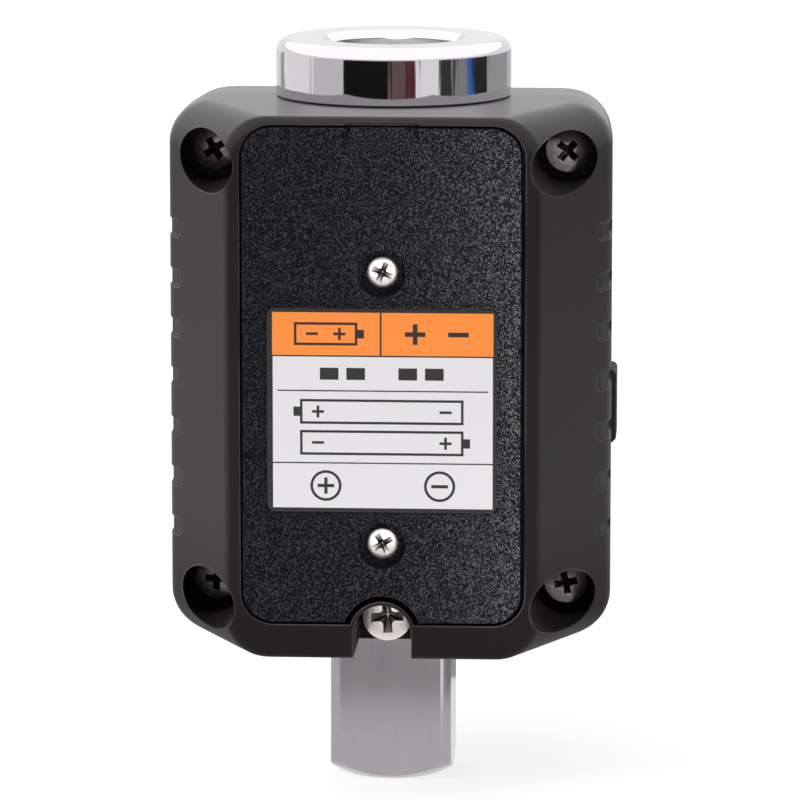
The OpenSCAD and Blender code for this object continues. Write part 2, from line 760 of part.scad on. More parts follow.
// Window opening, wider in front where the clear plate lies
module window_cut(grow, depth) plate(window_w / 2 - window_ledge + grow, -front_y - cut,
    grow > 0 ? -depth : 0, window_z - window_h / 2 + window_ledge - grow,
    window_z + window_h / 2 - window_ledge + grow, window_ledge);
module at_keys() for (k = KEY_PLACES) at_key(k) children();
module at_key(k) translate([k[0] * key_pitch_x / 2, 0, key_row_z + k[1] * key_pitch_z]) children();
module key_form(grow, y0, y1) plate(key_w / 2 + grow, y0, y1, -key_h / 2 - grow, key_h / 2 + grow, key_r);
module at_lamps() for (i = [-1:1]) translate([i * lamp_pitch, 0, lamp_z]) children();
module front_holes() {
    at_keys() key_form(key_gap, -front_y - cut, 0);
    at_lamps() y_rod(lamp_d / 2 + lamp_gap, -front_y - cut, 0);
}

module front_panel() color([0.62, 0.64, 0.66]) difference() {
    plate(panel_hw, panel_y1 - panel_t, panel_y1, panel_z0, panel_z1, panel_r);
    plate(window_w / 2 - window_ledge, -front_y - cut, 0, window_z - window_h / 2 + window_ledge,
        window_z + window_h / 2 - window_ledge, window_ledge);
    front_holes();
}
module display_window() color([0.7, 0.8, 0.85, 0.4]) plate(window_w / 2 - touch, panel_y1, window_y1,
    window_z - window_h / 2 + touch, window_z + window_h / 2 - touch, window_ledge);
module display_glass() color([0.55, 0.62, 0.5]) plate(glass_w / 2, glass_y0, glass_y1,
    window_z - glass_h / 2, window_z + glass_h / 2, touch);
module display_frame() color("white") difference() {
    plate(glass_w / 2 + frame_gap + frame_t, glass_y0, board_y0,
        window_z - glass_h / 2 - frame_gap - frame_t,
        window_z + glass_h / 2 + frame_gap + frame_t, frame_t);
    plate(glass_w / 2 + frame_gap, glass_y0 - cut, board_y0 + cut, window_z - glass_h / 2 - frame_gap,
        window_z + glass_h / 2 + frame_gap, touch);
}
module contact_strips() color("lightpink") for (side = [0, 1])
    translate([0, 0, window_z]) mirror([0, 0, side]) block(-light_w / 2, light_w / 2, glass_y1, board_y0,
        glass_h / 2 - strip_h, glass_h / 2);
module display_backlight() color("lemonchiffon")
    block(-light_w / 2, light_w / 2, glass_y1, glass_y1 + light_t,
        window_z - light_h / 2, window_z + light_h / 2);

module main_board() color("darkgreen") difference() {
    block(-board_hw, board_hw, board_y0, board_y1, board_z0, board_z1);
    z_rod(barrel_d / 2 + shaft_clear, barrel_z0 - shaft_clear, top_z);
    at_board_posts() y_rod(board_screw_d / 2 + run_gap, board_y0 - cut, board_y1 + cut);
    at_lamps() y_rod(lamp_lead_d / 2, board_y0 - cut, board_y1 + cut);
}
module board_screws() color("silver") at_board_posts() translate([0, board_y1, 0])
    screw(board_head_d, board_head_h, board_dome_h, board_screw_d, board_screw_len);
// Places and sizes of the chips on the board's rear, as shares of the board
chip_shares = [[0.42, 0.2, 0.3, 0.17], [-0.4, 0.17, 0.24, 0.14], [0.13, 0.07, 0.1, 0.08],
               [-0.12, 0.06, 0.1, 0.06], [0.5, 0.87, 0.16, 0.09], [-0.42, 0.85, 0.2, 0.1]];
module board_chips() color([0.1, 0.1, 0.1]) for (c = chip_shares) {
    x = c[0] * board_hw;
    z = board_z0 + c[1] * (board_z1 - board_z0);
    w = c[2] * board_hw;
    h = c[3] * (board_z1 - board_z0);
    block(x - w / 2, x + w / 2, board_y1, board_y1 + chip_t, z - h / 2, z + h / 2);
}
module dome_contacts() color("silver") at_keys() translate([0, board_y0, 0]) rotate([90, 0, 0])
    cylinder(d1 = dome_d, d2 = dome_top_d, h = dome_h);

// One key cap with the flange that holds it in and the stem that presses its dome
module key_cap(k) at_key(k) {
    key_form(0, key_y0, key_flange_y0);
    key_form(key_flange, key_flange_y0, key_flange_y0 + key_flange_t);
    y_rod(key_stem_d / 2, key_flange_y0, stem_y1);
}
module key_power() color("orange") key_cap(KEY_PLACES[0]);
module key_unit() color("dimgray") key_cap(KEY_PLACES[1]);
module key_up() color("dimgray") key_cap(KEY_PLACES[2]);
module key_down() color("dimgray") key_cap(KEY_PLACES[3]);

module indicator_lights() color("limegreen") at_lamps() {
    translate([0, lamp_y0 + lamp_d / 2, 0]) sphere(d = lamp_d);
    y_rod(lamp_d / 2, lamp_y0 + lamp_d / 2, board_y0);
}
module buzzer() color([0.1, 0.1, 0.1]) translate([buzzer_x, 0, buzzer_z]) difference() {
    y_rod(buzzer_d / 2, board_y1, board_y1 + buzzer_h);
    y_rod(buzzer_hole_d / 2, board_y1 + buzzer_h / 2, board_y1 + buzzer_h + cut);
}

module signal_jack() color([0.1, 0.1, 0.1]) difference() {
    block(jack_x0, jack_x0 + jack_len, board_y1, jack_y1, jack_z - jack_w / 2, jack_z + jack_w / 2);
    translate([0, jack_y, jack_z]) x_rod(jack_bore_d / 2, jack_x0 - cut, jack_x0 + jack_bore_len);
}
// The port cover is a flap with a round bead at its top, which it turns about
module port_recess() translate([-port_face_x - cut, jack_y, jack_z])
    rotate([90, 0, 90]) linear_extrude(cut + port_dip) round_rect(-port_w / 2 - port_gap,
        port_w / 2 + port_gap, -port_h / 2 - port_gap, port_h / 2 + port_gap, port_r);
module port_cover() color([0.2, 0.2, 0.2]) {
    x0 = -port_face_x - port_out;
    x1 = x0 + 2 * port_bead_r;
    z0 = jack_z - port_h / 2;
    translate([0, jack_y + port_w / 2, 0]) rotate([90, 0, 0]) linear_extrude(port_w)
        polygon([[x0, port_pivot_z], [x0, z0 + port_slant], [x0 + port_slant, z0], [x1, z0],
            [x1, port_pivot_z]]);
    translate([x0 + port_bead_r, 0, port_pivot_z])
        y_rod(port_bead_r, jack_y - port_w / 2, jack_y + port_w / 2);
    translate([0, jack_y, jack_z])
        x_rod(port_plug_d / 2, -port_face_x, -port_face_x + port_dip + port_plug_len);
}

// Thin foil patches round the neck
module strain_gauges() color("sandybrown") for (a = [0, 90, 180, 270]) rotate([0, 0, a])
    intersection() {
        tube_z(neck_d / 2, neck_d / 2 + gauge_t, gauge_z - gauge_h / 2, gauge_z + gauge_h / 2);
        linear_extrude(top_z) polygon([[0, 0], [neck_d, -neck_d * tan(gauge_deg / 2)],
            [neck_d, neck_d * tan(gauge_deg / 2)]]);
    }
// A flat lead from the front gauge to the back of the board
module gauge_ribbon() color("peru") {
    y0 = -neck_d / 2 - gauge_t;
    y1 = board_y1;
    z1 = gauge_z - gauge_h / 2;
    t = ribbon_t;
    translate([-ribbon_w / 2, 0, 0]) rotate([90, 0, 90]) linear_extrude(ribbon_w)
        polygon([[y0, z1 + ribbon_foot], [y0 - t, z1 + ribbon_foot], [y0 - t, z1], [y1, z1 - ribbon_rise],
            [y1, z1 - ribbon_rise - ribbon_foot], [y1 + t, z1 - ribbon_rise - ribbon_foot],
            [y1 + t, z1 - ribbon_rise], [y0, z1]]);
}

module detent_ball() color("silver") translate([0, ball_y, ball_z]) sphere(d = ball_d);
module detent_spring() color("silver") translate([0, 0, ball_z]) rotate([-90, 0, 0])
    coil(detent_coil_d, detent_coil_d, ball_y + ball_d / 2 - detent_wire_d, detent_hole_end - slip,
        detent_turns, detent_wire_d);

torque_shaft();
upper_bush();
lower_seal();
rear_shell();
front_shell();
battery_cover();
battery_label();
cover_screws();
corner_screws();
shaft_screw();
cell_a();
cell_b();
contact_springs();
terminal_plates();
battery_leads();
front_panel();
display_window();
display_glass();
display_frame();
contact_strips();
display_backlight();
main_board();
board_screws();
board_chips();
dome_contacts();
key_power();
key_unit();
key_up();
key_down();
indicator_lights();
buzzer();
signal_jack();
port_cover();
strain_gauges();
gauge_ribbon();
detent_ball();
detent_spring();
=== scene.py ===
# %% [markdown]
# A digital torque meter goes between a square drive handle and its socket. This script dresses its
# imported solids: it makes a detailed piece for each one that shows, gives the rest a finish, and lights
# the whole in a plain white studio. The frame has to come first, because every piece rides on it.
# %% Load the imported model
from math import atan2, cos, hypot, pi, radians, sin

import bmesh
import bpy
from mathutils import Matrix, Vector


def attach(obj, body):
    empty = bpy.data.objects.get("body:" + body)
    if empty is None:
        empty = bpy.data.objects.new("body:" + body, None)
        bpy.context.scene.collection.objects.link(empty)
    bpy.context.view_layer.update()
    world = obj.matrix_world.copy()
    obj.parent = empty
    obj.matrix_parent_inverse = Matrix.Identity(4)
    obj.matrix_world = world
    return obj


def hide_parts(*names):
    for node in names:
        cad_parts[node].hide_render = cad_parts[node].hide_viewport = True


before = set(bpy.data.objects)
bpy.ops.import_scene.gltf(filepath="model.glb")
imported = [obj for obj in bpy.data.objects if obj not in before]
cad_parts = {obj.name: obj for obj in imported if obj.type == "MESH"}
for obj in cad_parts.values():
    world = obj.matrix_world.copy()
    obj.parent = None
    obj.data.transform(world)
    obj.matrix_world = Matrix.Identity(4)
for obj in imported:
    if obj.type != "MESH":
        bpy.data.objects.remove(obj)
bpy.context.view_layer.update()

MM = 0.001

# %% [markdown]
# The pieces share some sizes with the solids, all in millimetres. X runs across, Y from the seam of the
# housing to its rear face, and Z up the drive from the male square's end.
# %% Sizes that several pieces share
BOTTOM, TOP, CORNER = 15.9, 71.75, 4.5
REAR_Y, RECESS_Y = 20.5, 18.9
DRIVE_HALF, SOCKET_HALF = 6.35, 6.45
HEAD_R, HEAD_TOP, HEAD_ROUND = 12.25, 77.75, 1.2
LOCK_Z = 18.55
LOCK = [(0, LOCK_Z)]
POSTS = [(x, z) for x in (-18.3, 18.3) for z in (21.1, 66.55)]
COVER_SCREWS = [(0, 27.8), (0, 55.8)]
CELL_X, CELL_Y = 8.65, 13.5
LOW_FOOT, HIGH_FOOT = 21.5, 62.9
print("housing, mm:", round(TOP - BOTTOM, 2), "tall, its rear face at", REAR_Y)

# %% [markdown]
# The camera stands where the photographer stood: behind the meter, 9.6 degrees above it, with a long
# lens. It was fitted to the corners of the square, the bright head and the housing.
# %% Camera
def placed(name, data):
    """A new object with this data, in the scene."""
    held = bpy.data.objects.new(name, data)
    bpy.context.scene.collection.objects.link(held)
    return held

lens = bpy.data.cameras.new("view")
lens.lens, lens.sensor_width, lens.clip_start = 265.5, 36, 0.01
camera = placed("view", lens)
camera.location = (-0.0370, 0.6103, 0.1426)
aim = Vector((-0.000652, 0, 0.03943)) - camera.location
camera.rotation_euler = aim.to_track_quat("-Z", "Y").to_euler()
bpy.context.scene.camera = camera
bpy.context.scene.view_settings.view_transform = "Standard"
print("camera distance, m:", round(aim.length, 3))

# %% [markdown]
# All pieces are made from a few forms, typed in millimetres. One helper turns them into metres, merges
# shared points and turns faces outwards, so every form is a closed solid that booleans can cut.
# %% A solid from points and faces
def solid(name, points, faces):
    mesh = bpy.data.meshes.new(name)
    mesh.from_pydata([(x * MM, y * MM, z * MM) for x, y, z in points], [], faces)
    work = bmesh.new()
    work.from_mesh(mesh)
    bmesh.ops.remove_doubles(work, verts=work.verts, dist=1e-7)
    bmesh.ops.recalc_face_normals(work, faces=work.faces)
    work.to_mesh(mesh)
    work.free()
    return placed(name, mesh)

# %% A skin over a row of rings
def skin(name, rings):
    n, last = len(rings[0]), len(rings) - 1
    faces = [(j * n + i, j * n + (i + 1) % n, (j + 1) * n + (i + 1) % n, (j + 1) * n + i)
             for j in range(last) for i in range(n)]
    faces += [tuple(range(n)), tuple(range(last * n, last * n + n))]
    return solid(name, [p for ring in rings for p in ring], faces)

# %% A lathe for round pieces
AXES = {"X": lambda a, b, h: (h, a, b), "Y": lambda a, b, h: (a, h, b), "Z": lambda a, b, h: (a, b, h)}

def lathe(name, profile, axis="Z", at=(0, 0, 0), steps=96):
    rings = []
    for r, h in profile:
        turn = [AXES[axis](r * cos(2 * pi * i / steps), r * sin(2 * pi * i / steps), h) for i in range(steps)]
        rings.append([(x + at[0], y + at[1], z + at[2]) for x, y, z in turn])
    return skin(name, rings)

def rod(axis, r, low, high, at=(0, 0, 0), steps=64):
    return lathe("rod", [(0, low), (r, low), (r, high), (0, high)], axis, at, steps)

def pins(places, r, y0, y1, steps=64):
    """Rods along Y, one at each (x, z)."""
    return [rod("Y", r, y0, y1, (x, 0, z), steps) for x, z in places]

# %% Plates and shells with rounded corners
def arc(steps):
    """The angles of a quarter turn."""
    return [radians(90 * k / steps) for k in range(steps + 1)]

def outline(half_w, z0, z1, r, steps=14):
    corners = ((1, z1 - r, 0), (-1, z1 - r, 90), (-1, z0 + r, 180), (1, z0 + r, 270))
    turns = [(side * (half_w - r), z, radians(start + 90 * k / steps))
             for side, z, start in corners for k in range(steps + 1)]
    return [(x + r * cos(a), z + r * sin(a)) for x, z, a in turns]

def shell(name, sections):
    return skin(name, [[(x, y, z) for x, z in outline(w, z0, z1, r)] for y, w, z0, z1, r in sections])

def rounding(edge):
    """Steps of a rim's quarter round, each as its way in from the face and from the side."""
    return [(edge * (1 - cos(a)), edge * (1 - sin(a))) for a in arc(5)] if edge else [(0, 0)]

def plate(name, half_w, y0, y1, z0, z1, r, x=0, edge=0, back_edge=0):
    """A plate across Y, with its corners rounded by r and its rims by edge at y1 and back_edge at y0."""
    rows = [(y0 + d, inset) for d, inset in rounding(back_edge)]
    rows += [(y1 - d, inset) for d, inset in reversed(rounding(edge))]
    rings = [[(px + x, y, pz) for px, pz in outline(half_w - d, z0 + d, z1 - d, max(r - d, 0.01))]
             for y, d in rows]
    return skin(name, rings)

def box(x0, x1, y0, y1, z0, z1):
    return skin("box", [[(x, y, z) for x, y in ((x0, y0), (x1, y0), (x1, y1), (x0, y1))] for z in (z0, z1)])

# %% [markdown]
# Holes are cut with the boolean modifier's Manifold solver, which is quick and keeps solids closed. The
# evaluated result replaces the mesh, so no modifier and no tool stays behind.
# %% Cut, join and settle
def evaluated(piece):
    bpy.context.view_layer.update()
    graph = bpy.context.evaluated_depsgraph_get()
    seen = piece.evaluated_get(graph)
    return bpy.data.meshes.new_from_object(seen, preserve_all_data_layers=True, depsgraph=graph)

def settle(piece):
    mesh = evaluated(piece)
    piece.modifiers.clear()
    piece.data = mesh
    return piece

def combine(piece, how, tools):
    for tool in tools:
        step = piece.modifiers.new(tool.name, "BOOLEAN")
        step.operation, step.solver, step.object = how, "MANIFOLD", tool
    settle(piece)
    for tool in tools:
        bpy.data.objects.remove(tool)
    return piece

def cut(piece, *tools):
    return combine(piece, "DIFFERENCE", tools)

def join(piece, *tools):
    return combine(piece, "UNION", tools)

# %% [markdown]
# A piece is finished in one step: its shading is smooth up to an angle, its normals follow the large
# faces so that flat places stay flat beside a rounded edge, it gets its finish and its body, and the
# solids that it stands for are hidden.
# %% Fit a piece to the frame
def paint(piece, look):
    piece.data.materials.clear()
    piece.data.materials.append(look.material)

def fit(piece, slot, look, *nodes, body="meter", angle=32):
    mesh = piece.data
    mesh.polygons.foreach_set("use_smooth", [True] * len(mesh.polygons))
    mesh.set_sharp_from_angle(angle=radians(angle))
    even = piece.modifiers.new("even", "WEIGHTED_NORMAL")
    even.keep_sharp, even.weight = True, 60
    settle(piece)
    paint(piece, look)
    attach(piece, body)
    if nodes:
        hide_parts(*nodes)
    print(piece.name, "faces:", len(piece.data.polygons))
    return piece

# %% [markdown]
# Finishes are shader graphs. Sums are easier to read than nodes added one by one, so a small class
# holds a socket and adds a Math node for each operator. Every other node comes from one method.
# Coordinates are the object's own, in millimetres, so a print keeps its place when its piece moves.
# %% A value that can be reckoned with
def operator(kind, swapped=False):
    """A method that adds a Math node for one operator, with its two sides swapped if need be."""
    def reckon(self, other):
        return self.maths(kind, other, self) if swapped else self.maths(kind, self, other)
    return reckon

class Value:
    def __init__(self, look, socket):
        self.look, self.socket = look, socket

    def maths(self, kind, *numbers, clamp=False):
        return self.look.node("Math", dict(operation=kind, use_clamp=clamp), dict(enumerate(numbers)))

    __add__ = __radd__ = operator("ADD")
    __mul__ = __rmul__ = operator("MULTIPLY")
    __sub__, __rsub__ = operator("SUBTRACT"), operator("SUBTRACT", swapped=True)
    __truediv__, __rtruediv__ = operator("DIVIDE"), operator("DIVIDE", swapped=True)
    __pow__ = operator("POWER")
    low, high = operator("MINIMUM"), operator("MAXIMUM")

    def __neg__(self):
        return 0 - self

    def __abs__(self):
        return self.maths("ABSOLUTE", self)

    def inside(self, blur=0.04):
        """Ink for a distance: 1 where it is negative and 0 where it is positive, with a narrow blur."""
        return self.maths("SUBTRACT", 0.5, self / blur, clamp=True)

    def between(self, start, end):
        """A smooth rise from 0 at start to 1 at end."""
        return self.look.node("MapRange", dict(interpolation_type="SMOOTHSTEP"), {0: self, 1: start, 2: end})

# %% A graph of nodes
def rgba(value):
    """A colour and its alpha, from three numbers or from one for a grey."""
    return (*value, 1) if isinstance(value, (tuple, list)) else (value, value, value, 1)

class Graph:
    def __init__(self, tree):
        self.tree = tree

    def feed(self, node, sockets):
        for name, value in sockets.items():
            socket = node.inputs[name]
            if isinstance(value, Value):
                self.tree.links.new(value.socket, socket)
            else:
                socket.default_value = rgba(value) if socket.type == "RGBA" else value

    def node(self, kind, settings={}, sockets={}, out=0):
        made = self.tree.nodes.new("ShaderNode" + kind)
        for name, value in settings.items():
            if name == "stops":
                ramp = made.color_ramp.elements
                ramp.remove(ramp[1])
                for i, (place, level) in enumerate(value):
                    stop = ramp[0] if i == 0 else ramp.new(place)
                    stop.position, stop.color = place, rgba(level)
            else:
                setattr(made, name, value)
        self.feed(made, sockets)
        return Value(self, made.outputs[out])

    def mix(self, share, a, b):
        return self.node("Mix", dict(data_type="RGBA"), {0: share, 6: a, 7: b}, out=2)

    def vector(self, kind, *vectors, out=0):
        return self.node("VectorMath", dict(operation=kind), dict(enumerate(vectors)), out)

    def parts(self, vector):
        return [self.node("SeparateXYZ", {}, {0: vector}, out=i) for i in range(3)]

    def rays(self):
        """1 for the camera's rays, and 1 for all that see the background: camera, gloss and glass."""
        eye, gloss, through = (self.node("LightPath", out="Is %s Ray" % kind)
                               for kind in ("Camera", "Glossy", "Transmission"))
        return eye, eye.high(through).high(gloss)

# %% A finish
class Look(Graph):
    def __init__(self, name, **plain):
        self.material = bpy.data.materials.new(name)
        self.material.use_nodes = True
        super().__init__(self.material.node_tree)
        self.shader = self.tree.nodes["Principled BSDF"]
        self.set(**plain)
        own = self.node("TexCoord", out=3)
        self.where = self.node("VectorMath", dict(operation="SCALE"), {0: own, 3: 1 / MM})
        self.x, self.y, self.z = self.parts(self.where)

    def report(self):
        print(self.material.name, "nodes:", len(self.tree.nodes))

    def set(self, **sockets):
        names = {"colour": "Base Color", "rough": "Roughness", "metal": "Metallic", "normal": "Normal",
                 "specular": "Specular IOR Level", "tint": "Specular Tint", "sheen": "Sheen Weight",
                 "coat": "Coat Weight", "coat_rough": "Coat Roughness", "clear": "Transmission Weight",
                 "bend": "IOR"}
        self.feed(self.shader, {names[k]: v for k, v in sockets.items()})

    def noise(self, size, detail=2.0, stretch=(1, 1, 1), rough=0.5):
        """Noise whose lumps are about size millimetres across."""
        where = self.vector("MULTIPLY", self.where, stretch)
        return self.node("TexNoise", {}, {"Vector": where, "Scale": 1 / size, "Detail": detail,
                                          "Roughness": rough})

    def grains(self, size):
        return self.node("TexVoronoi", {}, {"Vector": self.where, "Scale": 1 / size})

    def stripes(self, axis, scale):
        return self.node("TexWave", dict(wave_type="BANDS", bands_direction=axis),
                         {"Vector": self.where, "Scale": scale})

    def openness(self, reach):
        """From 0 deep in a recess to 1 outside, as far as walls within reach millimetres tell."""
        return self.node("AmbientOcclusion", dict(samples=8, only_local=True), {"Distance": reach * MM}, 1)

    def rounded(self, edge):
        """The normal of a surface whose edges look rounded by edge millimetres."""
        return self.node("Bevel", dict(samples=6), {"Radius": edge * MM})

    def near_edges(self, normal):
        """How far a rounded normal leans from the flat one: 0 on faces, more at edges."""
        flat = self.node("NewGeometry", out=1)
        return 1 - self.vector("DOT_PRODUCT", normal, flat, out=1)

    def relief(self, height, depth, normal=None):
        """Bumps of this depth in millimetres, on this normal or the surface's own."""
        below = {"Normal": normal} if normal else {}
        self.set(normal=self.node("Bump", {}, {"Height": height, "Distance": depth * MM, **below}))

# %% [markdown]
# The housing is black moulded plastic with a fine matt texture. Faint patches of colour and roughness
# keep its wide faces from looking like paper. A Bevel node rounds the look of cut edges, and there the
# plastic is painted paler in patches, as a painted highlight. A thin coat makes it shinier at the top
# and above the lowest part.
# %% Housing plastic
housing = Look("housing_plastic", specular=0.12, tint=(1, 0.92, 0.97), coat_rough=0.2)
patches, fine = housing.noise(9, 3), housing.noise(0.14, 3)
soft = housing.rounded(0.2)
# Painted highlight: the plastic is painted paler along rounded edges, in patches.
edge_highlight = housing.near_edges(soft).between(0.004, 0.07) * patches.between(0.3, 0.65)
plain = housing.mix(patches, (0.0095, 0.0074, 0.0086), (0.0135, 0.011, 0.0125))
housing.set(colour=housing.mix(edge_highlight, plain, (0.12, 0.11, 0.115)), rough=0.46 + fine * 0.14 + patches * 0.06,
            coat=housing.z.between(19, 32) * 0.14 + housing.z.between(66, 71) * 0.5)
housing.relief(fine + housing.noise(0.5, 2) * 0.6, 0.012, soft)
housing.report()

# %% [markdown]
# The cover has the coarse texture of a spark-eroded mould: grains of 0.2 mm with a crust of noise. The
# crust's peaks are paler and have a coat that catches the light, because a bump alone looks too even.
# %% Cover plastic
coarse = Look("cover_plastic", specular=0.03, tint=(0.98, 0.94, 1), coat_rough=0.34)
grain, crust = coarse.grains(0.2), coarse.noise(0.17, 3, rough=0.75)
peaks = crust.between(0.5, 0.6)
base = coarse.mix(coarse.noise(7, 3), (0.0035, 0.003, 0.0045), (0.006, 0.0052, 0.0075))
coarse.set(colour=coarse.mix(peaks, base, (0.012, 0.0107, 0.015)), rough=0.38 + grain * 0.06, coat=peaks)
coarse.relief(crust * 1.4 + grain * 0.8, 0.008, coarse.rounded(0.2))
coarse.report()

# %% [markdown]
# The shaft is one piece of steel with two finishes: bright chrome on the head, and satin with faint
# scratches on the male square. Masks by height and radius split them and the female square's inside,
# which is painted paler than the chrome as painted light inside it: pale in the middle of its walls and
# brownish towards their sides.
# %% Shaft finish
chrome = Look("shaft_chrome", metal=1.0)
radius = (chrome.x * chrome.x + chrome.y * chrome.y) ** 0.5
satin = 1 - chrome.z.between(16.2, 24)
socket = (1 - radius.between(9.3, 9.8)) * (1 - chrome.z.between(76.6, 77.4)) * chrome.z.between(60, 61)
smear = chrome.noise(2.2, 3, (1, 1, 0.4))
scratch = chrome.noise(0.4, 2, (1, 1, 0.12)).between(0.62, 0.75) * satin
dull = chrome.mix(smear, (0.34, 0.322, 0.34), (0.4, 0.381, 0.396))
# Painted light inside the female square: its walls are painted pale in the middle and brownish towards their
# sides.
socket_painted_light = chrome.mix(abs(chrome.x).between(3.5, 6.3), (0.86, 0.84, 0.86), (0.55, 0.47, 0.42))
bright = chrome.mix(socket, (0.64, 0.622, 0.645), socket_painted_light)
chrome.set(colour=chrome.mix(satin, bright, dull),
           rough=0.04 + satin * (0.10 + smear * 0.08) + scratch * 0.1 + socket * 0.36)
chrome.relief((smear + scratch * 0.2) * satin, 0.004, chrome.rounded(0.14))
chrome.report()

# %% Screw finishes
nickel = Look("screw_nickel", metal=1.0)
pits = nickel.noise(0.35, 3)
# Painted shade: the nickel is painted dark brown deep in its cross recess, where walls keep light out.
out_of_painted_shade = nickel.openness(1.1).between(0.35, 0.85)
nickel.set(colour=nickel.mix(out_of_painted_shade, (0.07, 0.055, 0.045), (0.78, 0.715, 0.685)), rough=0.24 + pits * 0.16)
nickel.relief(pits, 0.02, nickel.rounded(0.07))

zinc = Look("screw_zinc", metal=0.6)
blotch = zinc.noise(0.5, 3)
plating = zinc.mix(blotch.between(0.35, 0.7), (0.76, 0.69, 0.66), (0.56, 0.47, 0.44))
# Painted shade: the zinc is painted near black deep in its cross recess, where walls keep light out.
zinc.set(colour=zinc.mix(zinc.openness(0.9).between(0.6, 0.95), (0.03, 0.024, 0.022), plating),
         rough=0.46 + blotch * 0.12)
zinc.relief(blotch, 0.02, zinc.rounded(0.07))
nickel.report()
zinc.report()

# %% [markdown]
# The shaft is turned, then milled. Its profile goes on the lathe from the lower journal to the rim of
# the head, and the male square is a rounded bar cut to length by a cone, as a real one is.
# %% Bars with a square section
def square_bar(half, r, z0, z1):
    return skin("bar", [[(x, y, z) for x, y in outline(half, -half, half, r, 10)] for z in (z0, z1)])

def milled_bar(half, bar_r, z0, z1, crisp=80, steps=320):
    """A round bar with four flats milled on it. A high crisp keeps the edges between them narrow."""
    ring = []
    for i in range(steps):
        a = 2 * pi * i / steps
        flat = half / max(abs(cos(a)), abs(sin(a)))
        r = (flat ** -crisp + bar_r ** -crisp) ** (-1 / crisp)
        ring.append((r * cos(a), r * sin(a)))
    return skin("bar", [[(x, y, z) for x, y in ring] for z in (z0, z1)])

# %% Male square
square = milled_bar(DRIVE_HALF, 8.3, -1, 17)
cone = lathe("cone", [(0, 0), (5.3, 0), (5.6, 0.05), (5.95, 0.22), (7.2, 0.93), (7.75, 1.35), (8.05, 1.8),
                      (8.22, 2.4), (8.3, 3.1), (8.6, 3.4), (8.6, 18), (0, 18)], steps=144)
combine(square, "INTERSECT", [cone])
cut(square, rod("Y", 2.1, -8, 1.8, (0, 0, 7.95)))
print("male square, mm:", [round(v / MM, 2) for v in square.dimensions])

# %% Head, barrel, neck and journal
head_edge = [(HEAD_R - HEAD_ROUND + HEAD_ROUND * sin(a), HEAD_TOP - HEAD_ROUND + HEAD_ROUND * cos(a))
             for a in reversed(arc(10))]
turned = [(0, BOTTOM), (8.8, BOTTOM), (9, 16.1), (9, 21.8), (8.1, 21.8), (8.1, 23), (9, 23), (9, 24.1),
          (8.8, 24.3), (6.9, 24.3), (6.5, 24.7), (6.5, 57.75), (6.9, 58.15), (7.5, 58.15), (7.7, 58.35),
          (7.7, 60.15), (9.8, 60.15), (10, 60.35), (10, TOP), (12.1, TOP), (HEAD_R, 71.9)]
shaft = join(lathe("drive_shaft", turned + head_edge + [(0, HEAD_TOP)], steps=160), square)
mouth = lathe("mouth", [(0, 76), (SOCKET_HALF, 76), (SOCKET_HALF, 76.85), (7.0, 77.25), (7.35, 77.62),
                        (7.6, 77.82), (7.7, 79), (0, 79)], steps=128)
cut(shaft, square_bar(SOCKET_HALF, 0.8, 61.75, 76.95), mouth, *pins(LOCK, 1.53, 2.5, 18))

# %% Dimples that hold a detent ball
DIMPLE = [(0, -0.9), (1.3, -0.75), (2, 0), (1.3, 0.75), (0, 0.9)]
DIMPLE_Z = 69.8
for side in (SOCKET_HALF, -SOCKET_HALF):
    cut(shaft, lathe("dimple", DIMPLE, "X", (side, 0, DIMPLE_Z), 32),
        lathe("dimple", DIMPLE, "Y", (0, side, DIMPLE_Z), 32))
fit(shaft, "shaft_chrome", chrome, "torque_shaft", angle=28)

# %% [markdown]
# Both halves of the housing are hollow mouldings. The outside of each is a skin over rounded outlines
# that change along Y: a soft waist at the widest place, straight flanks, and a rounded rim. The inside
# is a second skin, from which the bosses and the bay are taken before it is cut out of the first.
# %% Outlines of the rear half
def bend(p, q, r, steps=6):
    """Outlines from p to r that turn softly near q."""
    out = []
    for k in range(steps + 1):
        t = k / steps
        out.append(tuple((1 - t) ** 2 * a + 2 * t * (1 - t) * b + t * t * c for a, b, c in zip(p, q, r)))
    return out

def flank(y):
    """Half the rear half's width behind its waist."""
    return 15.8 + (REAR_Y - y) * 0.5035

RIM = 0.9
WAIST = ((4.9, 22.965), (6.2, 23.0), (7.5, flank(7.5)))
waist = bend(*[(y, half_w, BOTTOM, TOP, CORNER) for y, half_w in WAIST])
rim = []
for a in reversed(arc(6)):
    y, inset = REAR_Y - RIM * (1 - cos(a)), RIM * (1 - sin(a))
    rim.append((y, flank(y) - inset * 0.35, BOTTOM + inset, TOP - inset, CORNER))
rear_outside = [(0, 22.85, BOTTOM, TOP, CORNER)] + waist + rim
rear_inside = [(y, half_w, 17.5, 70.15, 2.9) for y, half_w in ((-1, 21.25), (6.2, 21.4), (18.3, 15.31))]
print("outlines of the rear half:", len(rear_outside))

# %% Bosses and spaces that several cuts share

def shaft_bosses():
    return [rod("Z", 10.4, BOTTOM, 24.3), rod("Z", 12.63, 66.85, TOP)]

def lock_boss():
    return pins(LOCK, 2.95, 0, 10) + pins(LOCK, 3.37, 9, 21.5, 96)

def shaft_space():
    return [rod("Z", 9.1, 14.9, 25.3), rod("Z", 10.3, 57.85, 68.4), rod("Z", 11.16, 68.35, 72.75)]

# %% [markdown]
# The grips at the housing's waist are short scoops with round ends. Each is cut with a rounded bar
# whose ends curve away, so that the floor rises softly to the flank at the back.
# %% Grip scoops
SCOOP_ROWS = ((0.9, 0.02, 0.5), (1.1, 0.22, 0.6), (1.6, 0.32, 0.7), (6.2, 0.32, 0.74), (8.0, 0.34, 0.74),
              (8.5, 0.33, 0.66), (8.85, 0.26, 0.45), (9.1, 0.05, 0.2))
GRIP_Z, GRIP_PITCH, GRIPS = 42.925, 5.23, 7

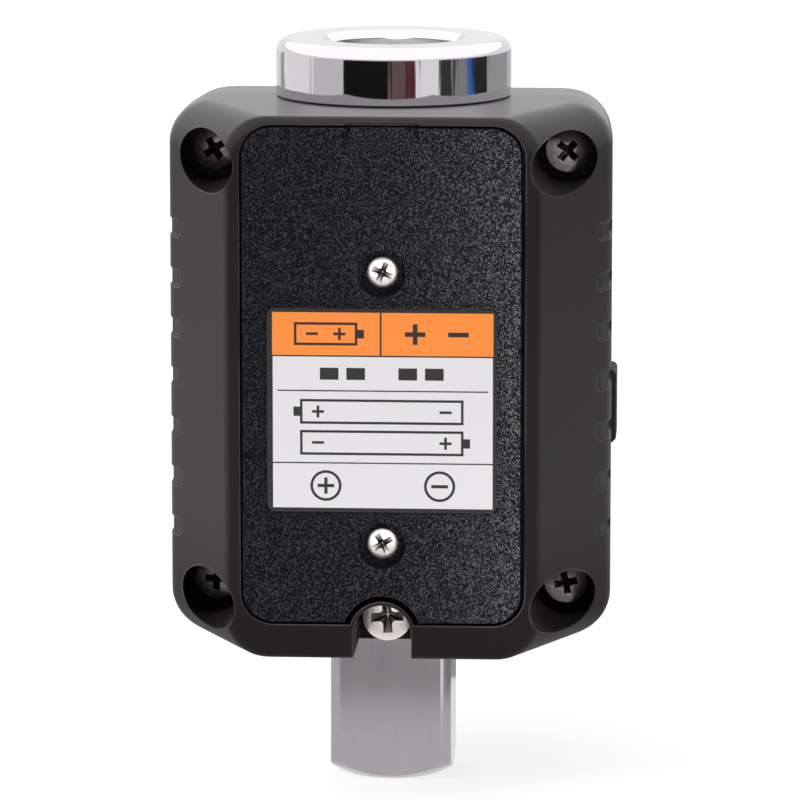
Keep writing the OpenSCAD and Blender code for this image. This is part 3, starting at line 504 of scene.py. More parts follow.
def scoop(side, z):
    """A scoop at one side. Each row gives its y, its depth and half the height of its floor."""
    rings = []
    for y, depth, half in SCOOP_ROWS:
        wall = 22.85 + 0.15 * y / 6.2 if y < 6.2 else flank(y)
        floor = wall - depth
        upper = [(floor, half), (floor + 0.12, half + 0.16), (floor + 0.34, half + 0.26),
                 (wall + 2, half + 0.5)]
        ring = [(x, -h) for x, h in upper[2::-1]] + upper + [(wall + 2, -half - 0.5)]
        rings.append([(side * x, y, z + h) for x, h in ring])
    return skin("scoop", rings)

grips = [scoop(side, GRIP_Z + GRIP_PITCH * (i - GRIPS // 2)) for side in (-1, 1) for i in range(GRIPS)]
print("grips:", len(grips))

# %% Rear half
rear = shell("back_housing", rear_outside)
bay_walls = box(-15.05, 15.05, 7.15, 21, 16.8, 67.6)
hollow = cut(shell("hollow", rear_inside), bay_walls, *shaft_bosses(), *lock_boss(),
             *pins(POSTS, 4.2, -2, 21))
bay = cut(box(-13.95, 13.95, 8.15, 18.95, 17.9, 66.5), *shaft_bosses(), rod("Z", 10.7, 57.45, 72),
          *lock_boss(), *pins(COVER_SCREWS, 2.3, 0, 17.6))
recess = cut(plate("recess", 14.52, RECESS_Y, 21.5, 19.5, 70.9, 3.3, -0.07), *lock_boss())
LIP = ((-3.95, 70.95, 20.48), (-3.5, 71.5, 20.15), (3.5, 71.5, 20.15), (3.95, 70.95, 20.48))
lip = skin("lip", [[(x, 21.5, top), (x, 20.52, top), (x, low, 70.88), (x, low, 70.4), (x, 21.5, 70.4)]
                   for x, top, low in LIP])
cut(rear, hollow, bay, recess, *pins(POSTS, 3.2, 3.3, 22, 48), *pins(POSTS, 1.35, -1, 10, 32),
    *pins(COVER_SCREWS, 0.93, 11.6, 22, 24), *pins(LOCK, 3, 10, 22, 96), box(-3, 3, 10, 22, 14, LOCK_Z),
    *pins(LOCK, 1.65, 0, 22, 32), *shaft_space(),
    *[rod("X", 0.7, x - 2.6, x + 2.6, (0, 9.0, 33), 24) for x in (-14.6, 14.6)], *grips, lip)
fit(rear, "shell_plastic", housing, "rear_shell", angle=30)

# %% [markdown]
# The front half is the same kind of moulding, with a pocket for the panel, openings for the window, the
# keys and the lights, posts for the board's screws, and a shallow recess for the port's cover.
# %% Front half
FRONT_RIM = 1.4
front_rim = []
for a in arc(6):
    depth, inset = FRONT_RIM * (1 - cos(a)), FRONT_RIM * (1 - sin(a))
    half_w = 17.8 - inset * 0.6 + depth / 2
    front_rim.append((depth - 15.5, half_w, BOTTOM + 1 + inset, TOP - 1 - inset, CORNER))
turn = bend((-10.2, 21.63, 16.30, 71.35, CORNER), (-9, 22.5, 16.2, 71.45, CORNER),
            (-7.4, 22.56, 16.15, 71.5, CORNER))
front = shell("front_housing", front_rim + turn + [(-0.01, 22.85, BOTTOM, TOP, CORNER)])
BOARD_POSTS = [(x, z) for x in (-16.5, 16.5) for z in (28.9, 57.6)]
inner = cut(shell("inner", [(-13.3, 17.48, 18.5, 69.15, 2.9), (-9, 20.9, 17.8, 69.85, 2.9),
                            (1, 21.25, 17.5, 70.15, 2.9)]), *shaft_bosses(),
            *pins(POSTS, 3.1, -14, 2), *pins(BOARD_POSTS, 2, -14, -9.6))
KEYS = {"power": (6.2, 35.5), "unit": (-6.2, 35.5), "up": (6.2, 28.5), "down": (-6.2, 28.5)}
LIGHTS = [(x, 56.7) for x in (-6, 0, 6)]

def face_openings():
    """Cutters for the window, the keys and the lights."""
    keys = [plate("key_hole", 4.85, -17, -10, z - 2.75, z + 2.75, 1.2, x) for x, z in KEYS.values()]
    return keys + pins(LIGHTS, 1.3, -17, -10, 32) + [plate("sight", 10.8, -17, -10, 41.7, 52.5, 0.7)]

cut(front, inner, plate("pocket", 15.5, -17, -14.8, 20.8, 66.85, 2.7),
    plate("seat", 11.5, -14.9, -13.8, 41.0, 53.2, 0.7), *face_openings(), *shaft_space(),
    *pins(POSTS, 1.23, -5.7, 1, 32), *pins(BOARD_POSTS, 0.83, -11.45, -8, 24),
    rod("X", 2.6, -46, -20.7, (0, -4.6, 38.7), 48), box(-24, -22.15, -7.8, -1.4, 34.65, 42.9))
fit(front, "shell_plastic", housing, "front_shell", angle=30)

# %% [markdown]
# The cover is a thin plate with bosses under its two screws, a round notch for the shaft's screw, a
# shallow place for the label with a faint step round it, and a dip for a finger at the top.
# %% Battery cover
cover = join(plate("bay_cover", 14.25, RECESS_Y, REAR_Y, 19.7, 70.7, 3.1, edge=0.22),
             *pins(COVER_SCREWS, 2.8, 17.7, 19.7))
cut(cover, *pins(COVER_SCREWS, 2.45, 18.5, 22), *pins(COVER_SCREWS, 1.05, 17, 22, 32),
    *pins(LOCK, 3.95, 17, 22, 96))
DIP = ((67.5, 20.52), (67.9, 20.49), (68.5, 20.40), (69.2, 20.26), (70.0, 20.09), (70.9, 19.88))
rings = []
for z, y in DIP:
    half = 4.4 - 0.95 * (z - DIP[0][0]) / (DIP[-1][0] - DIP[0][0])
    low, high = half - 0.8 * (REAR_Y - y), half + 0.9
    rings.append([(-low, y, z), (low, y, z), (high, 21.6, z), (-high, 21.6, z)])
dip = skin("dip", rings)
cut(cover, plate("label_place", 12.05, 20.2, 21.5, 31.05, 52.75, 1.15),
    plate("label_step", 12.55, 20.38, 21.5, 30.55, 53.25, 1.65), dip)
fit(cover, "cover_plastic", coarse, "battery_cover", body="battery_cover", angle=30)

# %% [markdown]
# The label is a printed film. Each shape of its print is a distance that is negative inside it. Shapes
# are put together with low and high, and a mask makes ink of them. It shows how the two cells lie.
# %% Shapes for prints
def rectangle(x, z, half_w, half_h):
    return (abs(x) - half_w).high(abs(z) - half_h)

def disc(x, z, r):
    return (x * x + z * z) ** 0.5 - r

def ring_line(shape, half_t):
    return abs(shape) - half_t

def plus(x, z, arm, half_t):
    return rectangle(x, z, arm, half_t).low(rectangle(x, z, half_t, arm))

def cell_sign(x, z, half_w, half_h, way):
    """A lying cell in outline, its button towards way, with its plus and minus inside."""
    body = ring_line(rectangle(x, z, half_w, half_h), 0.13)
    button = rectangle(x - way * (half_w + 0.4), z, 0.4, half_h * 0.42)
    reach = way * (half_w - 1.7)
    minus = rectangle(x + reach, z, 0.62, 0.14)
    return body.low(button).low(plus(x - reach, z, 0.62, 0.14)).low(minus)

# %% Label print
HEADER_Z, DASH_Z, FIELD_Z, FOOT_Z = 49.6, 45.5, 39.45, 33.95
SIGN_X = 5.8

film = Look("label_film", specular=0.5, coat=0.25, coat_rough=0.16)
lx, lz = film.x, film.z
header, below = lz - HEADER_Z, lz - FOOT_Z
orange = rectangle(lx + 0.1, header, 11.25, 2.2).high(-rectangle(lx - 0.1, header, 0.09, 3)).inside()
white = rectangle(lx + 0.1, lz - FIELD_Z, 11.2, 7.8).inside()
rules = rectangle(lx + 0.1, lz - 43.75, 10.75, 0.07).low(rectangle(lx + 0.1, lz - 36.3, 11.3, 0.07))
cells = cell_sign(lx, lz - 41.6, 8.2, 1.15, 1).low(cell_sign(lx, lz - 38.4, 8.2, 1.15, -1))
marks = cell_sign(lx - 5.7, header, 3.1, 1.05, -1).low(plus(lx + 3.4, header, 1.05, 0.24))
marks = marks.low(rectangle(lx + 7.8, header, 1.05, 0.24))
rings = ring_line(disc(abs(lx + 0.1) - SIGN_X, below, 1.45), 0.14)
foot = rings.low(plus(lx - 5.7, below, 0.85, 0.17)).low(rectangle(lx + 5.9, below, 0.85, 0.17))
dashes = rectangle(abs(abs(lx) - 4.0) - 1.35, lz - DASH_Z, 0.95, 0.62)
film.report()

# %% Label colours
ink = rules.low(cells).low(marks).low(foot).low(dashes).inside(0.05)
paper = film.mix(white, (0.008, 0.007, 0.008), (0.79, 0.77, 0.795))
paper = film.mix(orange, paper, (1.0, 0.285, 0.052))
mottle = film.noise(0.6, 3)
film.set(colour=film.mix(ink, paper, (0.012, 0.010, 0.010)), rough=0.30 + mottle * 0.12)
film.relief(mottle + ink * 0.4, 0.004)
label = plate("cover_label", 11.7, 20.2, 20.32, 31.2, 52.2, 0.8, edge=0.03)
fit(label, "label_film", film, "battery_label", body="battery_cover")

# %% [markdown]
# The screws have a low domed head and a real thread, a grid round the axis whose radius follows the
# turn and the height. Their recess is a cross with flared arms that narrows downwards.
# %% Screw parts
def thread(r, z0, z1, pitch, steps=24):
    rows = max(8, int((z1 - z0) / pitch * 7))
    rings = [[(0, 0, z0)] * steps]
    for j in range(rows + 1):
        z = z0 + (z1 - z0) * j / rows
        taper = min(1, (z - z0) / r + 0.35)
        ring = []
        for i in range(steps):
            a = 2 * pi * i / steps
            tooth = abs(2 * ((z / pitch - i / steps) % 1) - 1)
            reach = r * taper - 0.25 * pitch * tooth
            ring.append((reach * cos(a), reach * sin(a), z))
        rings.append(ring)
    return skin("thread", rings + [[(0, 0, z1)] * steps])

def cross(length, width, z0, z1, turn, fillet):
    """A cross whose arms flare a little, with inner corners that start at fillet times its width."""
    start = width * fillet
    r = start - width / 2
    corner = [(length, width * 0.56)] + [(start - r * sin(a), start - r * cos(a)) for a in arc(5)]
    corner.append((width * 0.56, length))
    points = []
    for quarter in range(4):
        c, s = cos(quarter * pi / 2 + turn), sin(quarter * pi / 2 + turn)
        points += [(x * c - y * s, x * s + y * c) for x, y in corner]
    rows = ((z0 - 0.3, 0.12), (z0, 0.5), (z1 - 0.12, 0.93), (z1 + 0.5, 1.16))
    return skin("cross", [[(x * share, y * share, z) for x, y in points] for z, share in rows])

# %% Screws, each with its seat at its place and its head towards +Y
TO_REAR = Matrix(((1, 0, 0, 0), (0, 0, 1, 0), (0, -1, 0, 0), (0, 0, 0, 1)))

def screws(name, places, head, body, recess, turn):
    """Screws with a head of (radius, height, dome), a body of (radius, length, pitch) and a recess of
    (arm, width, depth, fillet), whose arm and width are shares of the head's radius."""
    (head_r, head_h, dome_h), (body_r, length, pitch), (arm, width, depth, fillet) = head, body, recess
    dome = [(head_r * k / 8, head_h - dome_h * (k / 8) ** 2) for k in range(8)][::-1]
    side = [(0, 0), (head_r - 0.12, 0), (head_r, 0.12), (head_r, head_h - dome_h - 0.04)]
    made = []
    for n, place in enumerate(places):
        one = join(lathe(name, side + dome, steps=64), thread(body_r, -length, 0.1, pitch))
        cut(one, cross(head_r * arm, head_r * width, head_h - depth, head_h - 0.05,
                       radians(turn + 37 * n), fillet))
        one.data.transform(Matrix.Translation([v * MM for v in place]) @ TO_REAR)
        made.append(one)
    return join(made[0], *made[1:]) if len(made) > 1 else made[0]

lock_screw = screws("shaft_lock_screw", [(0, 10, LOCK_Z)], (2.55, 1.5, 0.2), (1.5, 6.5, 0.6),
                    (0.70, 0.36, 1.1, 0.95), 3)
fit(lock_screw, "screw_steel", nickel, "shaft_screw", angle=30)
cover_pair = screws("cover_screw_pair", [(x, 18.5, z) for x, z in COVER_SCREWS],
                    (1.575, 1.1, 0.3), (0.9, 6, 0.5), (0.74, 0.34, 0.45, 0.9), 30)
fit(cover_pair, "screw_steel", nickel, "cover_screws", body="battery_cover", angle=30)
corner_set = screws("corner_screw_set", [(x, 3.3, z) for x, z in POSTS],
                    (2.25, 1.9, 0.8), (1.2, 9, 0.7), (0.62, 0.34, 1.3, 0.85), 12)
fit(corner_set, "screw_steel", zinc, "corner_screws", angle=30)

# %% [markdown]
# Behind the cover lie two small standard cells, one each way up. A cell is a drawn can with a button
# and a sealing ring, in a sleeve with plain bands of colour that wraps over both ends.
# %% Cell finish
can = Look("cell_can", metal=0.85, coat=0.3, coat_rough=0.12)
height, upright = can.z, can.x.between(-1, 1)
from_flat = upright * (height - LOW_FOOT) + (1 - upright) * (HIGH_FOOT - height)
button = from_flat.between(43.2, 43.3) + (1 - from_flat.between(0.55, 0.6))
band = from_flat.between(31.0, 31.1)
stripe = abs(from_flat - 29.6) - 0.5
sleeve = can.mix(band, (0.028, 0.03, 0.038), (0.62, 0.30, 0.075))
sleeve = can.mix(stripe.inside(), sleeve, (0.7, 0.68, 0.62))
can.set(colour=can.mix(button.low(1), sleeve, (0.72, 0.7, 0.66)), rough=0.26 + can.noise(1.2, 3) * 0.1)
can.report()

# %% Cells
def make_cell(name, node, x, foot, way):
    rows = [(0, 0), (3.6, 0), (3.9, 0.18), (4.6, 0.18), (4.9, 0.05), (5.1, 0.3), (5.15, 0.6), (5.15, 42.9),
            (5.08, 43.25), (4.8, 43.45), (4.5, 43.3), (3.9, 43.3), (3.4, 43.62), (2.3, 43.62), (1.95, 43.7),
            (1.9, 44.2), (1.7, 44.45), (1.4, 44.5), (0, 44.5)]
    made = lathe(name, [(r, foot + way * h) for r, h in rows], "Z", (x, CELL_Y, 0), 72)
    fit(made, "cell_can", can, node, angle=40)

make_cell("cell_up", "cell_a", CELL_X, LOW_FOOT, 1)
make_cell("cell_down", "cell_b", -CELL_X, HIGH_FOOT, -1)

# %% [markdown]
# Each contact spring is one wire coiled to a cone: a curve with a round bevel, turned into a mesh so
# that it is shaded like the rest.
# %% Springs
spring_look = Look("spring_nickel", metal=1.0, colour=(0.72, 0.70, 0.67))
spring_look.set(rough=0.18 + spring_look.noise(0.3, 2) * 0.12)

def wire(name, points, r):
    line = bpy.data.curves.new(name, "CURVE")
    line.dimensions, line.bevel_depth, line.bevel_resolution, line.use_fill_caps = "3D", r * MM, 4, True
    spline = line.splines.new("POLY")
    spline.points.add(len(points) - 1)
    for point, place in zip(spline.points, points):
        point.co = (*[v * MM for v in place], 1)
    drawn = placed(name, line)
    mesh = evaluated(drawn)
    bpy.data.objects.remove(drawn)
    return placed(name, mesh)

def coil_line(x, z_wide, z_narrow, wide=3.4, narrow=2.0, turns=3, steps=32):
    out = []
    for k in range(turns * steps + 1):
        t = k / (turns * steps)
        r, a = wide + (narrow - wide) * t, 2 * pi * turns * t
        out.append((x + r * cos(a), CELL_Y + r * sin(a), z_wide + (z_narrow - z_wide) * t))
    return out

for name, x, wide, narrow, nodes in (("spring_low", CELL_X, 18.52, 21.15, ["contact_springs"]),
                                     ("spring_high", -CELL_X, 65.88, 63.25, [])):
    fit(wire(name, coil_line(x, wide, narrow), 0.3), "spring_steel", spring_look, *nodes, angle=60)

# %% [markdown]
# The front is a printed film panel in a pocket. A dark field frames the window and the lights, a paler
# one the keys. These are soft caps with printed signs: power, three bars for the unit, two arrows.
# %% Panel print
face = Look("panel_film", specular=0.5)
px, pz = face.x, face.z
field = rectangle(px, pz - 50.1, 14.2, 10.9).inside()
rule = rectangle(px, pz - 38.62, 14.2, 0.12).inside()
frame_line = ring_line(rectangle(px, pz - 43.85, 14.75, 22.3), 0.08).inside()
sight_line = ring_line(rectangle(px, pz - 47.1, 11.35, 5.95), 0.1).inside()
brushed = face.noise(0.16, 2, (0.04, 1, 1))
silver = face.mix(brushed, (0.40, 0.405, 0.42), (0.52, 0.525, 0.54))
tone = face.mix(field, silver, (0.02, 0.021, 0.024))
tone = face.mix(rule, tone, (0.80, 0.22, 0.03))
tone = face.mix(sight_line.high(frame_line * 0.8), tone, (0.62, 0.62, 0.64))
face.set(colour=tone, rough=0.30 + brushed * 0.14)
face.relief(brushed, 0.006, face.rounded(0.08))
panel = cut(plate("face_panel", 15.4, -15.4, -14.8, 20.9, 66.75, 2.6, back_edge=0.1), *face_openings())
fit(panel, "panel_film", face, "front_panel")

# %% Key finishes
def key_look(name, shade, sign, x, z):
    look = Look(name, specular=0.3, sheen=0.1)
    kx, kz = look.x - x, look.z - z
    shapes = {
        "power": lambda: ring_line(disc(kx, kz, 1.15), 0.15).high(-rectangle(kx, kz - 1.2, 0.5, 0.9)).low(
            rectangle(kx, kz - 0.85, 0.15, 0.65)),
        "unit": lambda: rectangle(kx, abs(abs(kz) - 0.4) - 0.4, 1.4, 0.13),
        "up": lambda: (abs(kx) * 1.25 + kz - 0.95).high(-kz - 0.75),
        "down": lambda: (abs(kx) * 1.25 - kz - 0.95).high(kz - 0.75)}
    printed = shapes[sign]().inside()
    grit = look.noise(0.12, 3)
    look.set(colour=look.mix(printed, look.mix(grit, [0.85 * v for v in shade], shade), 0.75),
             rough=0.48 + grit * 0.14)
    look.relief(grit + printed * 0.5, 0.008)
    return look

GREY, ORANGE = (0.06, 0.062, 0.066), (0.78, 0.17, 0.02)

# %% Keys
CROWN = ((-16.10, 2.2), (-16.08, 1.2), (-16.02, 0.6), (-15.88, 0.22), (-15.7, 0.06), (-15.5, 0), (-13.2, 0))

def key_cap(name, x, z):
    rings = []
    for y, d in CROWN:
        form = outline(4.7 - d, z - 2.6 + d, z + 2.6 - d, max(1.2 - d * 0.4, 0.3), 8)
        rings.append([(px + x, y, pz) for px, pz in form])
    return join(skin(name, rings), plate("flange", 5.3, -13.25, -12.45, z - 3.2, z + 3.2, 1.2, x),
                rod("Y", 1.2, -13, -10.4, (x, 0, z), 32))

for sign, (x, z) in KEYS.items():
    slot, shade = ("key_orange", ORANGE) if sign == "power" else ("key_grey", GREY)
    fit(key_cap(sign + "_key_cap", x, z), slot, key_look(sign + "_key_rubber", shade, sign, x, z),
        "key_" + sign, body=sign + "_key")

# %% [markdown]
# The display is a liquid crystal cell behind a clear acrylic window. Its figures are real thin pieces
# of up to seven bars, leaning a little. The glass is a cool grey green with a faint grid of pixels.
# %% Display
lcd = Look("lcd_glass", specular=0.5, coat=0.4, coat_rough=0.08)
cells_grid = lcd.stripes("X", 3.0) * lcd.stripes("Z", 3.0)
lcd.set(colour=lcd.mix(cells_grid, (0.33, 0.39, 0.30), (0.38, 0.44, 0.34)), rough=0.25 + cells_grid * 0.08)
glass = plate("lcd_panel", 12.6, -13.2, -11.2, 39.9, 54.3, 0.3, edge=0.1, back_edge=0.1)
fit(glass, "lcd_glass", lcd, "display_glass")

SEGMENTS = {"0": "abcdef", "1": "bc", "2": "abged", "8": "abcdefg"}
INK_BACK, INK_FRONT = -13.2, -13.26

def bar_shape(x0, z0, x1, z1, half_t):
    length = hypot(x1 - x0, z1 - z0)
    ux, uz = (x1 - x0) / length, (z1 - z0) / length
    local = [(0, 0), (half_t, half_t), (length - half_t, half_t), (length, 0), (length - half_t, -half_t),
             (half_t, -half_t)]
    return [(x0 + a * ux - b * uz, z0 + a * uz + b * ux) for a, b in local]

def figure(digit, x, z, w, h):
    ends = {"a": (0, h, w, h), "b": (w, h, w, h / 2), "c": (w, h / 2, w, 0), "d": (0, 0, w, 0),
            "e": (0, 0, 0, h / 2), "f": (0, h / 2, 0, h), "g": (0, h / 2, w, h / 2)}
    made = []
    for part in SEGMENTS[digit]:
        x0, z0, x1, z1 = ends[part]
        gap = 0.12 / max(abs(x1 - x0), abs(z1 - z0))
        start, end = [(x0 + (x1 - x0) * t, z0 + (z1 - z0) * t) for t in (gap, 1 - gap)]
        ring = [(x - across - (z + up - 47) * 0.08, z + up) for across, up in bar_shape(*start, *end, 0.36)]
        made.append(skin("bar", [[(px, y, pz) for px, pz in ring] for y in (INK_FRONT, INK_BACK)]))
    return made

bars = []
for place, digit in enumerate("0128"):
    left = 8.9 - 4.9 * place - (0.7 if place == 3 else 0)
    bars += figure(digit, left, 44.2, 2.9, 5.8)
bars.append(plate("point", 0.42, INK_FRONT, INK_BACK, 44.0, 44.84, 0.2, -6))
bpy.ops.object.select_all(action="DESELECT")
for bar in bars:
    bar.select_set(True)
bpy.context.view_layer.objects.active = bars[0]
bpy.ops.object.join()
figures = bars[0]
figures.name = "lcd_figures"
figure_look = Look("lcd_ink", specular=0.3)
shade = figure_look.mix(figure_look.noise(2, 2), (0.012, 0.014, 0.014), (0.03, 0.034, 0.03))
figure_look.set(colour=shade, rough=0.4)
fit(figures, "lcd_glass", figure_look)

# %% Window and lights
clear = Look("window_clear", clear=1.0, bend=1.49, colour=(0.98, 0.99, 0.99))
clear.set(rough=0.015 + clear.noise(3, 2).between(0.5, 0.9) * 0.02)
pane = plate("window_pane", 11.45, -14.8, -13.8, 41.05, 53.15, 0.7, edge=0.08, back_edge=0.15)
fit(pane, "window_clear", clear, "display_window")
lens_look = Look("lamp_lens", specular=0.5, coat=0.5, coat_rough=0.05)
tinted = lens_look.mix(lens_look.x.between(-3.2, -3), (0.62, 0.03, 0.02), (0.72, 0.30, 0.03))
tinted = lens_look.mix(lens_look.x.between(3, 3.2), tinted, (0.10, 0.42, 0.12))
lens_look.set(colour=tinted, rough=0.18 + lens_look.noise(0.8, 2) * 0.08)
LENS = [(0, -15.25), (0.5, -15.2), (0.9, -15.02), (1.1, -14.8), (1.2, -14.5), (1.2, -11.5), (1.2, -9.7),
        (0, -9.7)]
lights = [lathe("state_lights", LENS, "Y", (x, 0, z), 40) for x, z in LIGHTS]
fit(join(lights[0], *lights[1:]), "lamp_clear", lens_look, "indicator_lights")

# %% [markdown]
# The port's cover is a small rubber flap. Its solid is right, with a round bead along its top about
# which it turns, so it only gets a finish that softens its edges.
# %% Port cover
rubber = Look("port_rubber", specular=0.25)
bloom = rubber.noise(0.25, 3)
rubber.set(colour=rubber.mix(bloom, (0.016, 0.015, 0.016), (0.03, 0.028, 0.029)), rough=0.55 + bloom * 0.15)
rubber.relief(bloom, 0.01, rubber.rounded(0.12))

# %% [markdown]
# The other pieces inside keep their CAD solids, because their shapes are right as they are. Each gets
# the finish of its own material: milky acetal, rubber, nickel strip, lacquered board, moulded black.
# %% A finish for a solid that stays
def dress(node, look):
    paint(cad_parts[node], look)

def plain_look(name, dark, light, size, rough=(0.35, 0.5), metal=0.0):
    """A finish whose colour and roughness vary in lumps of the given size."""
    look = Look(name, metal=metal)
    grit = look.noise(size, 3)
    look.set(colour=look.mix(grit, dark, light), rough=rough[0] + grit * (rough[1] - rough[0]))
    look.relief(grit, 0.006)
    return look

PLAIN = {
    "upper_bush": ("bush_acetal", (0.74, 0.72, 0.64), (0.82, 0.80, 0.73), 1.5),
    "lower_seal": ("seal_rubber", 0.012, 0.025, 0.4, (0.5, 0.65)),
    "terminal_plates": ("plate_nickel", (0.62, 0.60, 0.55), (0.74, 0.72, 0.68), 0.6, (0.2, 0.35), 1.0),
    "display_frame": ("frame_white", (0.76, 0.76, 0.74), (0.83, 0.83, 0.81), 2),
    "contact_strips": ("strip_rubber", (0.62, 0.36, 0.32), (0.72, 0.44, 0.40), 0.3, (0.5, 0.6)),
    "display_backlight": ("light_guide", (0.78, 0.80, 0.74), (0.86, 0.88, 0.82), 1.5, (0.2, 0.3)),
    "board_chips": ("chip_black", (0.012, 0.012, 0.013), (0.022, 0.022, 0.024), 0.3, (0.4, 0.5)),
    "dome_contacts": ("dome_steel", 0.6, 0.7, 0.5, (0.18, 0.3), 1.0),
    "buzzer": ("buzzer_black", (0.014, 0.014, 0.015), (0.024, 0.024, 0.026), 0.4, (0.35, 0.5)),
    "signal_jack": ("jack_black", (0.012, 0.012, 0.013), (0.02, 0.02, 0.022), 0.5, (0.3, 0.4)),
    "gauge_ribbon": ("ribbon_film", (0.50, 0.20, 0.04), (0.60, 0.27, 0.06), 0.8, (0.2, 0.3)),
    "detent_ball": ("ball_steel", (0.68, 0.68, 0.69), (0.76, 0.76, 0.77), 0.8, (0.05, 0.12), 1.0)}
for node, row in PLAIN.items():
    dress(node, plain_look(*row))
for node, look in (("port_cover", rubber), ("board_screws", nickel), ("detent_spring", spring_look)):
    dress(node, look)
print("solids that stay:", sum(not piece.hide_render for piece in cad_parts.values()))

# %% Board, gauges and leads
board = Look("board_green", coat=0.4, coat_rough=0.15)
flat = board.node("CombineXYZ", {}, {0: board.x, 1: board.z})
tracks = board.node("TexBrick", dict(offset=0.3), {
    "Vector": flat, "Color1": (0.012, 0.12, 0.035), "Color2": (0.016, 0.15, 0.045),
    "Mortar": (0.03, 0.24, 0.07), "Scale": 1.0, "Mortar Size": 0.12, "Brick Width": 3.1, "Row Height": 1.3})
board.set(colour=tracks, rough=0.28 + board.noise(0.8, 2) * 0.12)
dress("main_board", board)
foil = Look("gauge_foil", coat=0.3, coat_rough=0.15)
lines = foil.stripes("Z", 1.1)
traces = foil.mix(lines.between(0.45, 0.55), (0.48, 0.19, 0.035), (0.62, 0.40, 0.22))
foil.set(colour=traces, rough=0.22 + lines * 0.1)
dress("strain_gauges", foil)
leads = Look("lead_pvc", specular=0.5)
leads.set(colour=leads.mix(leads.x.between(-0.5, 0.5), (0.45, 0.012, 0.012), (0.015, 0.015, 0.016)),
          rough=0.3 + leads.noise(0.5, 2) * 0.1)
dress("battery_leads", leads)
for look in (board, foil, leads):
    look.report()

# %% [markdown]
# The studio is plain. The floor and the world are white to the camera, to gloss and through glass, and
# the floor takes a faint shadow. The light that they throw on matt surfaces changes with the direction:
# ROOM holds its level all round, and NEAR that of the floor close to the meter.
# Angles are counted from the camera's direction and grow towards the left of its view.
# %% Brightness by direction
FACING = -atan2(camera.location.x, camera.location.y) / (2 * pi)
ROOM = [(-180, 0.72), (-170, 0.78), (-152, 0.25), (-134, 0.04), (-126, 0.04), (-60, 0.02), (20, 0.02),
        (60, 0.08), (95, 0.3), (126, 0.55), (150, 0.84), (180, 0.72)]
NEAR = [(-180, 0.36), (-75, 0.4), (-62, 1.0), (-50, 2.0), (-34, 2.0), (-26, 0.54), (26, 0.54), (60, 1.0),
        (120, 1.0), (180, 0.8)]

def around(graph, vector, levels):
    """The level, a number or a colour, in the direction of a vector."""
    x, y, z = graph.parts(vector)
    turn = x.maths("ARCTAN2", x, y) / (2 * pi) + 0.5 + FACING
    stops = [(angle / 360 + 0.5, level) for angle, level in levels]
    return graph.node("ValToRGB", dict(stops=stops), {0: turn.maths("FRACT", turn)})

print("levels of the room and near the meter:", len(ROOM), len(NEAR))

# %% Floor
FLOOR = 3000
corners = [(x * FLOOR, y * FLOOR, 0) for x, y in ((-1, -1), (1, -1), (1, 1), (-1, 1))]
ground = solid("floor", corners, [(0, 1, 2, 3)])
chalk = Look("floor_white", colour=0.9, rough=0.9)
eye, background = chalk.rays()
far = ((chalk.x * chalk.x + chalk.y * chalk.y) ** 0.5).between(78, 112)
room, near = (around(chalk, chalk.where, levels) for levels in (ROOM, NEAR))
thrown = room * far + near * (1 - far)
glow = chalk.node("Emission", {}, {"Strength": background + (1 - background) * thrown})
matt = Value(chalk, chalk.shader.outputs[0])
shown = chalk.node("MixShader", {}, {0: 1 - eye * 0.2, 1: matt, 2: glow})
chalk.feed(chalk.tree.nodes["Material Output"], {0: shown})
paint(ground, chalk)
chalk.report()

# %% World
world = bpy.data.worlds.new("studio")
world.use_nodes = True
bpy.context.scene.world = world
studio = Graph(world.node_tree)
eye, background = studio.rays()
direction = studio.node("TexCoord", out=0)
high = studio.parts(direction)[2].between(0.42, 0.85)
thrown = around(studio, direction, ROOM) * (1 - high) + high * 0.9
studio.feed(world.node_tree.nodes["Background"], {
    "Color": 1, "Strength": background + (1 - background) * thrown})
print("world nodes:", len(world.node_tree.nodes))

# %% [markdown]
# The bright head and the male square mirror two low rings of cards, which gloss alone sees. The head's
# ring is far off, with waved bands of light, dark and colour. The male square's stands close to it and
# repeats the levels of the floor.
# %% Rings of cards
def cards(*bands):
    """Stops for bands, each given as its two edges and its level, with narrow steps between them."""
    return [stop for low, high, level in bands for stop in ((low + 1, level), (high - 1, level))]

HEAD = cards((-180, -146, 0.6), (-146, -104, 0.4), (-104, -84, 0.03), (-84, -76, (0.05, 0.16, 0.5)),
             (-76, -60, 0.28), (-60, -44, 0.05), (-44, -22, 1.0), (-22, -12, (0.11, 0.03, 0.05)),
             (-12, 4, (0.16, 0.1, 0.1)), (4, 49, 0.008), (49, 86, 0.7), (86, 133, 1.0), (133, 143, 0.35),
             (143, 180, 0.85))

def card_ring(name, z0, z1, radius, levels, wave, count=96):
    """A ring of light that only gloss sees. Its bands' edges wander by up to wave millimetres."""
    turns = [2 * pi * k / count for k in range(count)]
    points = [(radius * cos(a), radius * sin(a), z) for z in (z0, z1) for a in turns]
    faces = [(k, (k + 1) % count, count + (k + 1) % count, count + k) for k in range(count)]
    made = solid(name, points, faces)
    look = Look(name, colour=0, rough=1.0, specular=0.0)
    ripple = look.node("TexNoise", {}, {"Vector": look.where, "Scale": 0.05, "Detail": 4.0}, out=1)
    shift = look.vector("MULTIPLY_ADD", ripple, (2 * wave, 2 * wave, 0), (-wave, -wave, 0))
    bent = look.vector("ADD", look.where, shift)
    light = look.node("Emission", {}, {"Color": around(look, bent, levels)})
    look.feed(look.tree.nodes["Material Output"], {0: light})
    paint(made, look)
    made.visible_camera = made.visible_diffuse = made.visible_shadow = made.visible_transmission = False

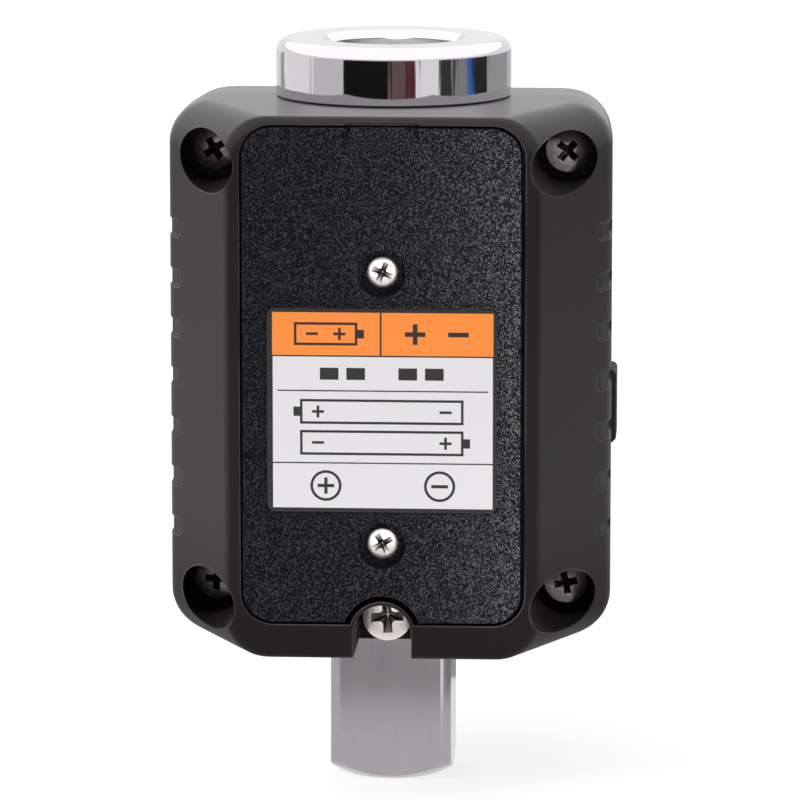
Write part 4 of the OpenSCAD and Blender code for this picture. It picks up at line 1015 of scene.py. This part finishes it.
card_ring("cards", 0.2, 48, 360, HEAD, 75)
card_ring("foot_cards", 0.1, 8.6, 45, NEAR, 0)
print("bands on the head:", len(HEAD) // 2)

# %% [markdown]
# Four lamps light the object at a plain level. The others stand for small cards, each of which reaches
# only the pieces that light linking names.
# %% Lamps
def lamp(name, place, size, power, target=(0, 0, 0.045), gloss=True, diffuse=True, shape="DISK", height=0):
    light = bpy.data.lights.new(name, "AREA")
    light.shape, light.size, light.size_y, light.energy = shape, size, height or size, power
    held = placed(name, light)
    held.location = place
    way = Vector(target) - Vector(place)
    held.rotation_euler = way.to_track_quat("-Z", "Y").to_euler()
    held.visible_glossy, held.visible_diffuse, held.visible_camera = gloss, diffuse, False
    print(name, "lights the object with", round(power / pi / way.length ** 2, 2))
    return held

def only(light, *pieces, shaded=True):
    """Let a light reach these pieces and no others, and be shaded by all pieces or by these alone."""
    chosen = bpy.data.collections.new(light.name + "_receivers")
    for piece in pieces:
        chosen.objects.link(piece)
    light.light_linking.receiver_collection = chosen
    if not shaded:
        light.light_linking.blocker_collection = chosen

lamp("key", (0.55, 0.35, 0.45), 0.35, 7.1, gloss=False)
lamp("top", (-0.05, 0.10, 0.85), 0.5, 2.4, gloss=False)
lamp("right_fill", (-0.6, 0.35, 0.25), 0.4, 1.7, gloss=False)
lamp("front_fill", (0.15, -0.75, 0.35), 0.45, 3.4, gloss=False)
only(lamp("sheen", (-0.0185, 0.070, 0.052), 0.010, 0.040, (-0.016, 0.02, 0.058), diffuse=False,
          shape="RECTANGLE", height=0.1), cover)
only(lamp("left_well_light", (0.34, 0.42, 0.012), 0.06, 1.6), corner_set)
only(lamp("well_light", (-0.25, 0.42, 0.17), 0.06, 1.5), corner_set)
only(lamp("screw_card", (0.012, 0.21, 0.02), 0.32, 0.42, (0, 0.02, 0.042), diffuse=False,
          shape="RECTANGLE", height=0.3), cover_pair, lock_screw, shaded=False)
only(lamp("head_card", (0, 0.26, 0.15), 1.6, 1.95, (0, 0.26, 0), diffuse=False,
          shape="ELLIPSE", height=0.9), shaft)
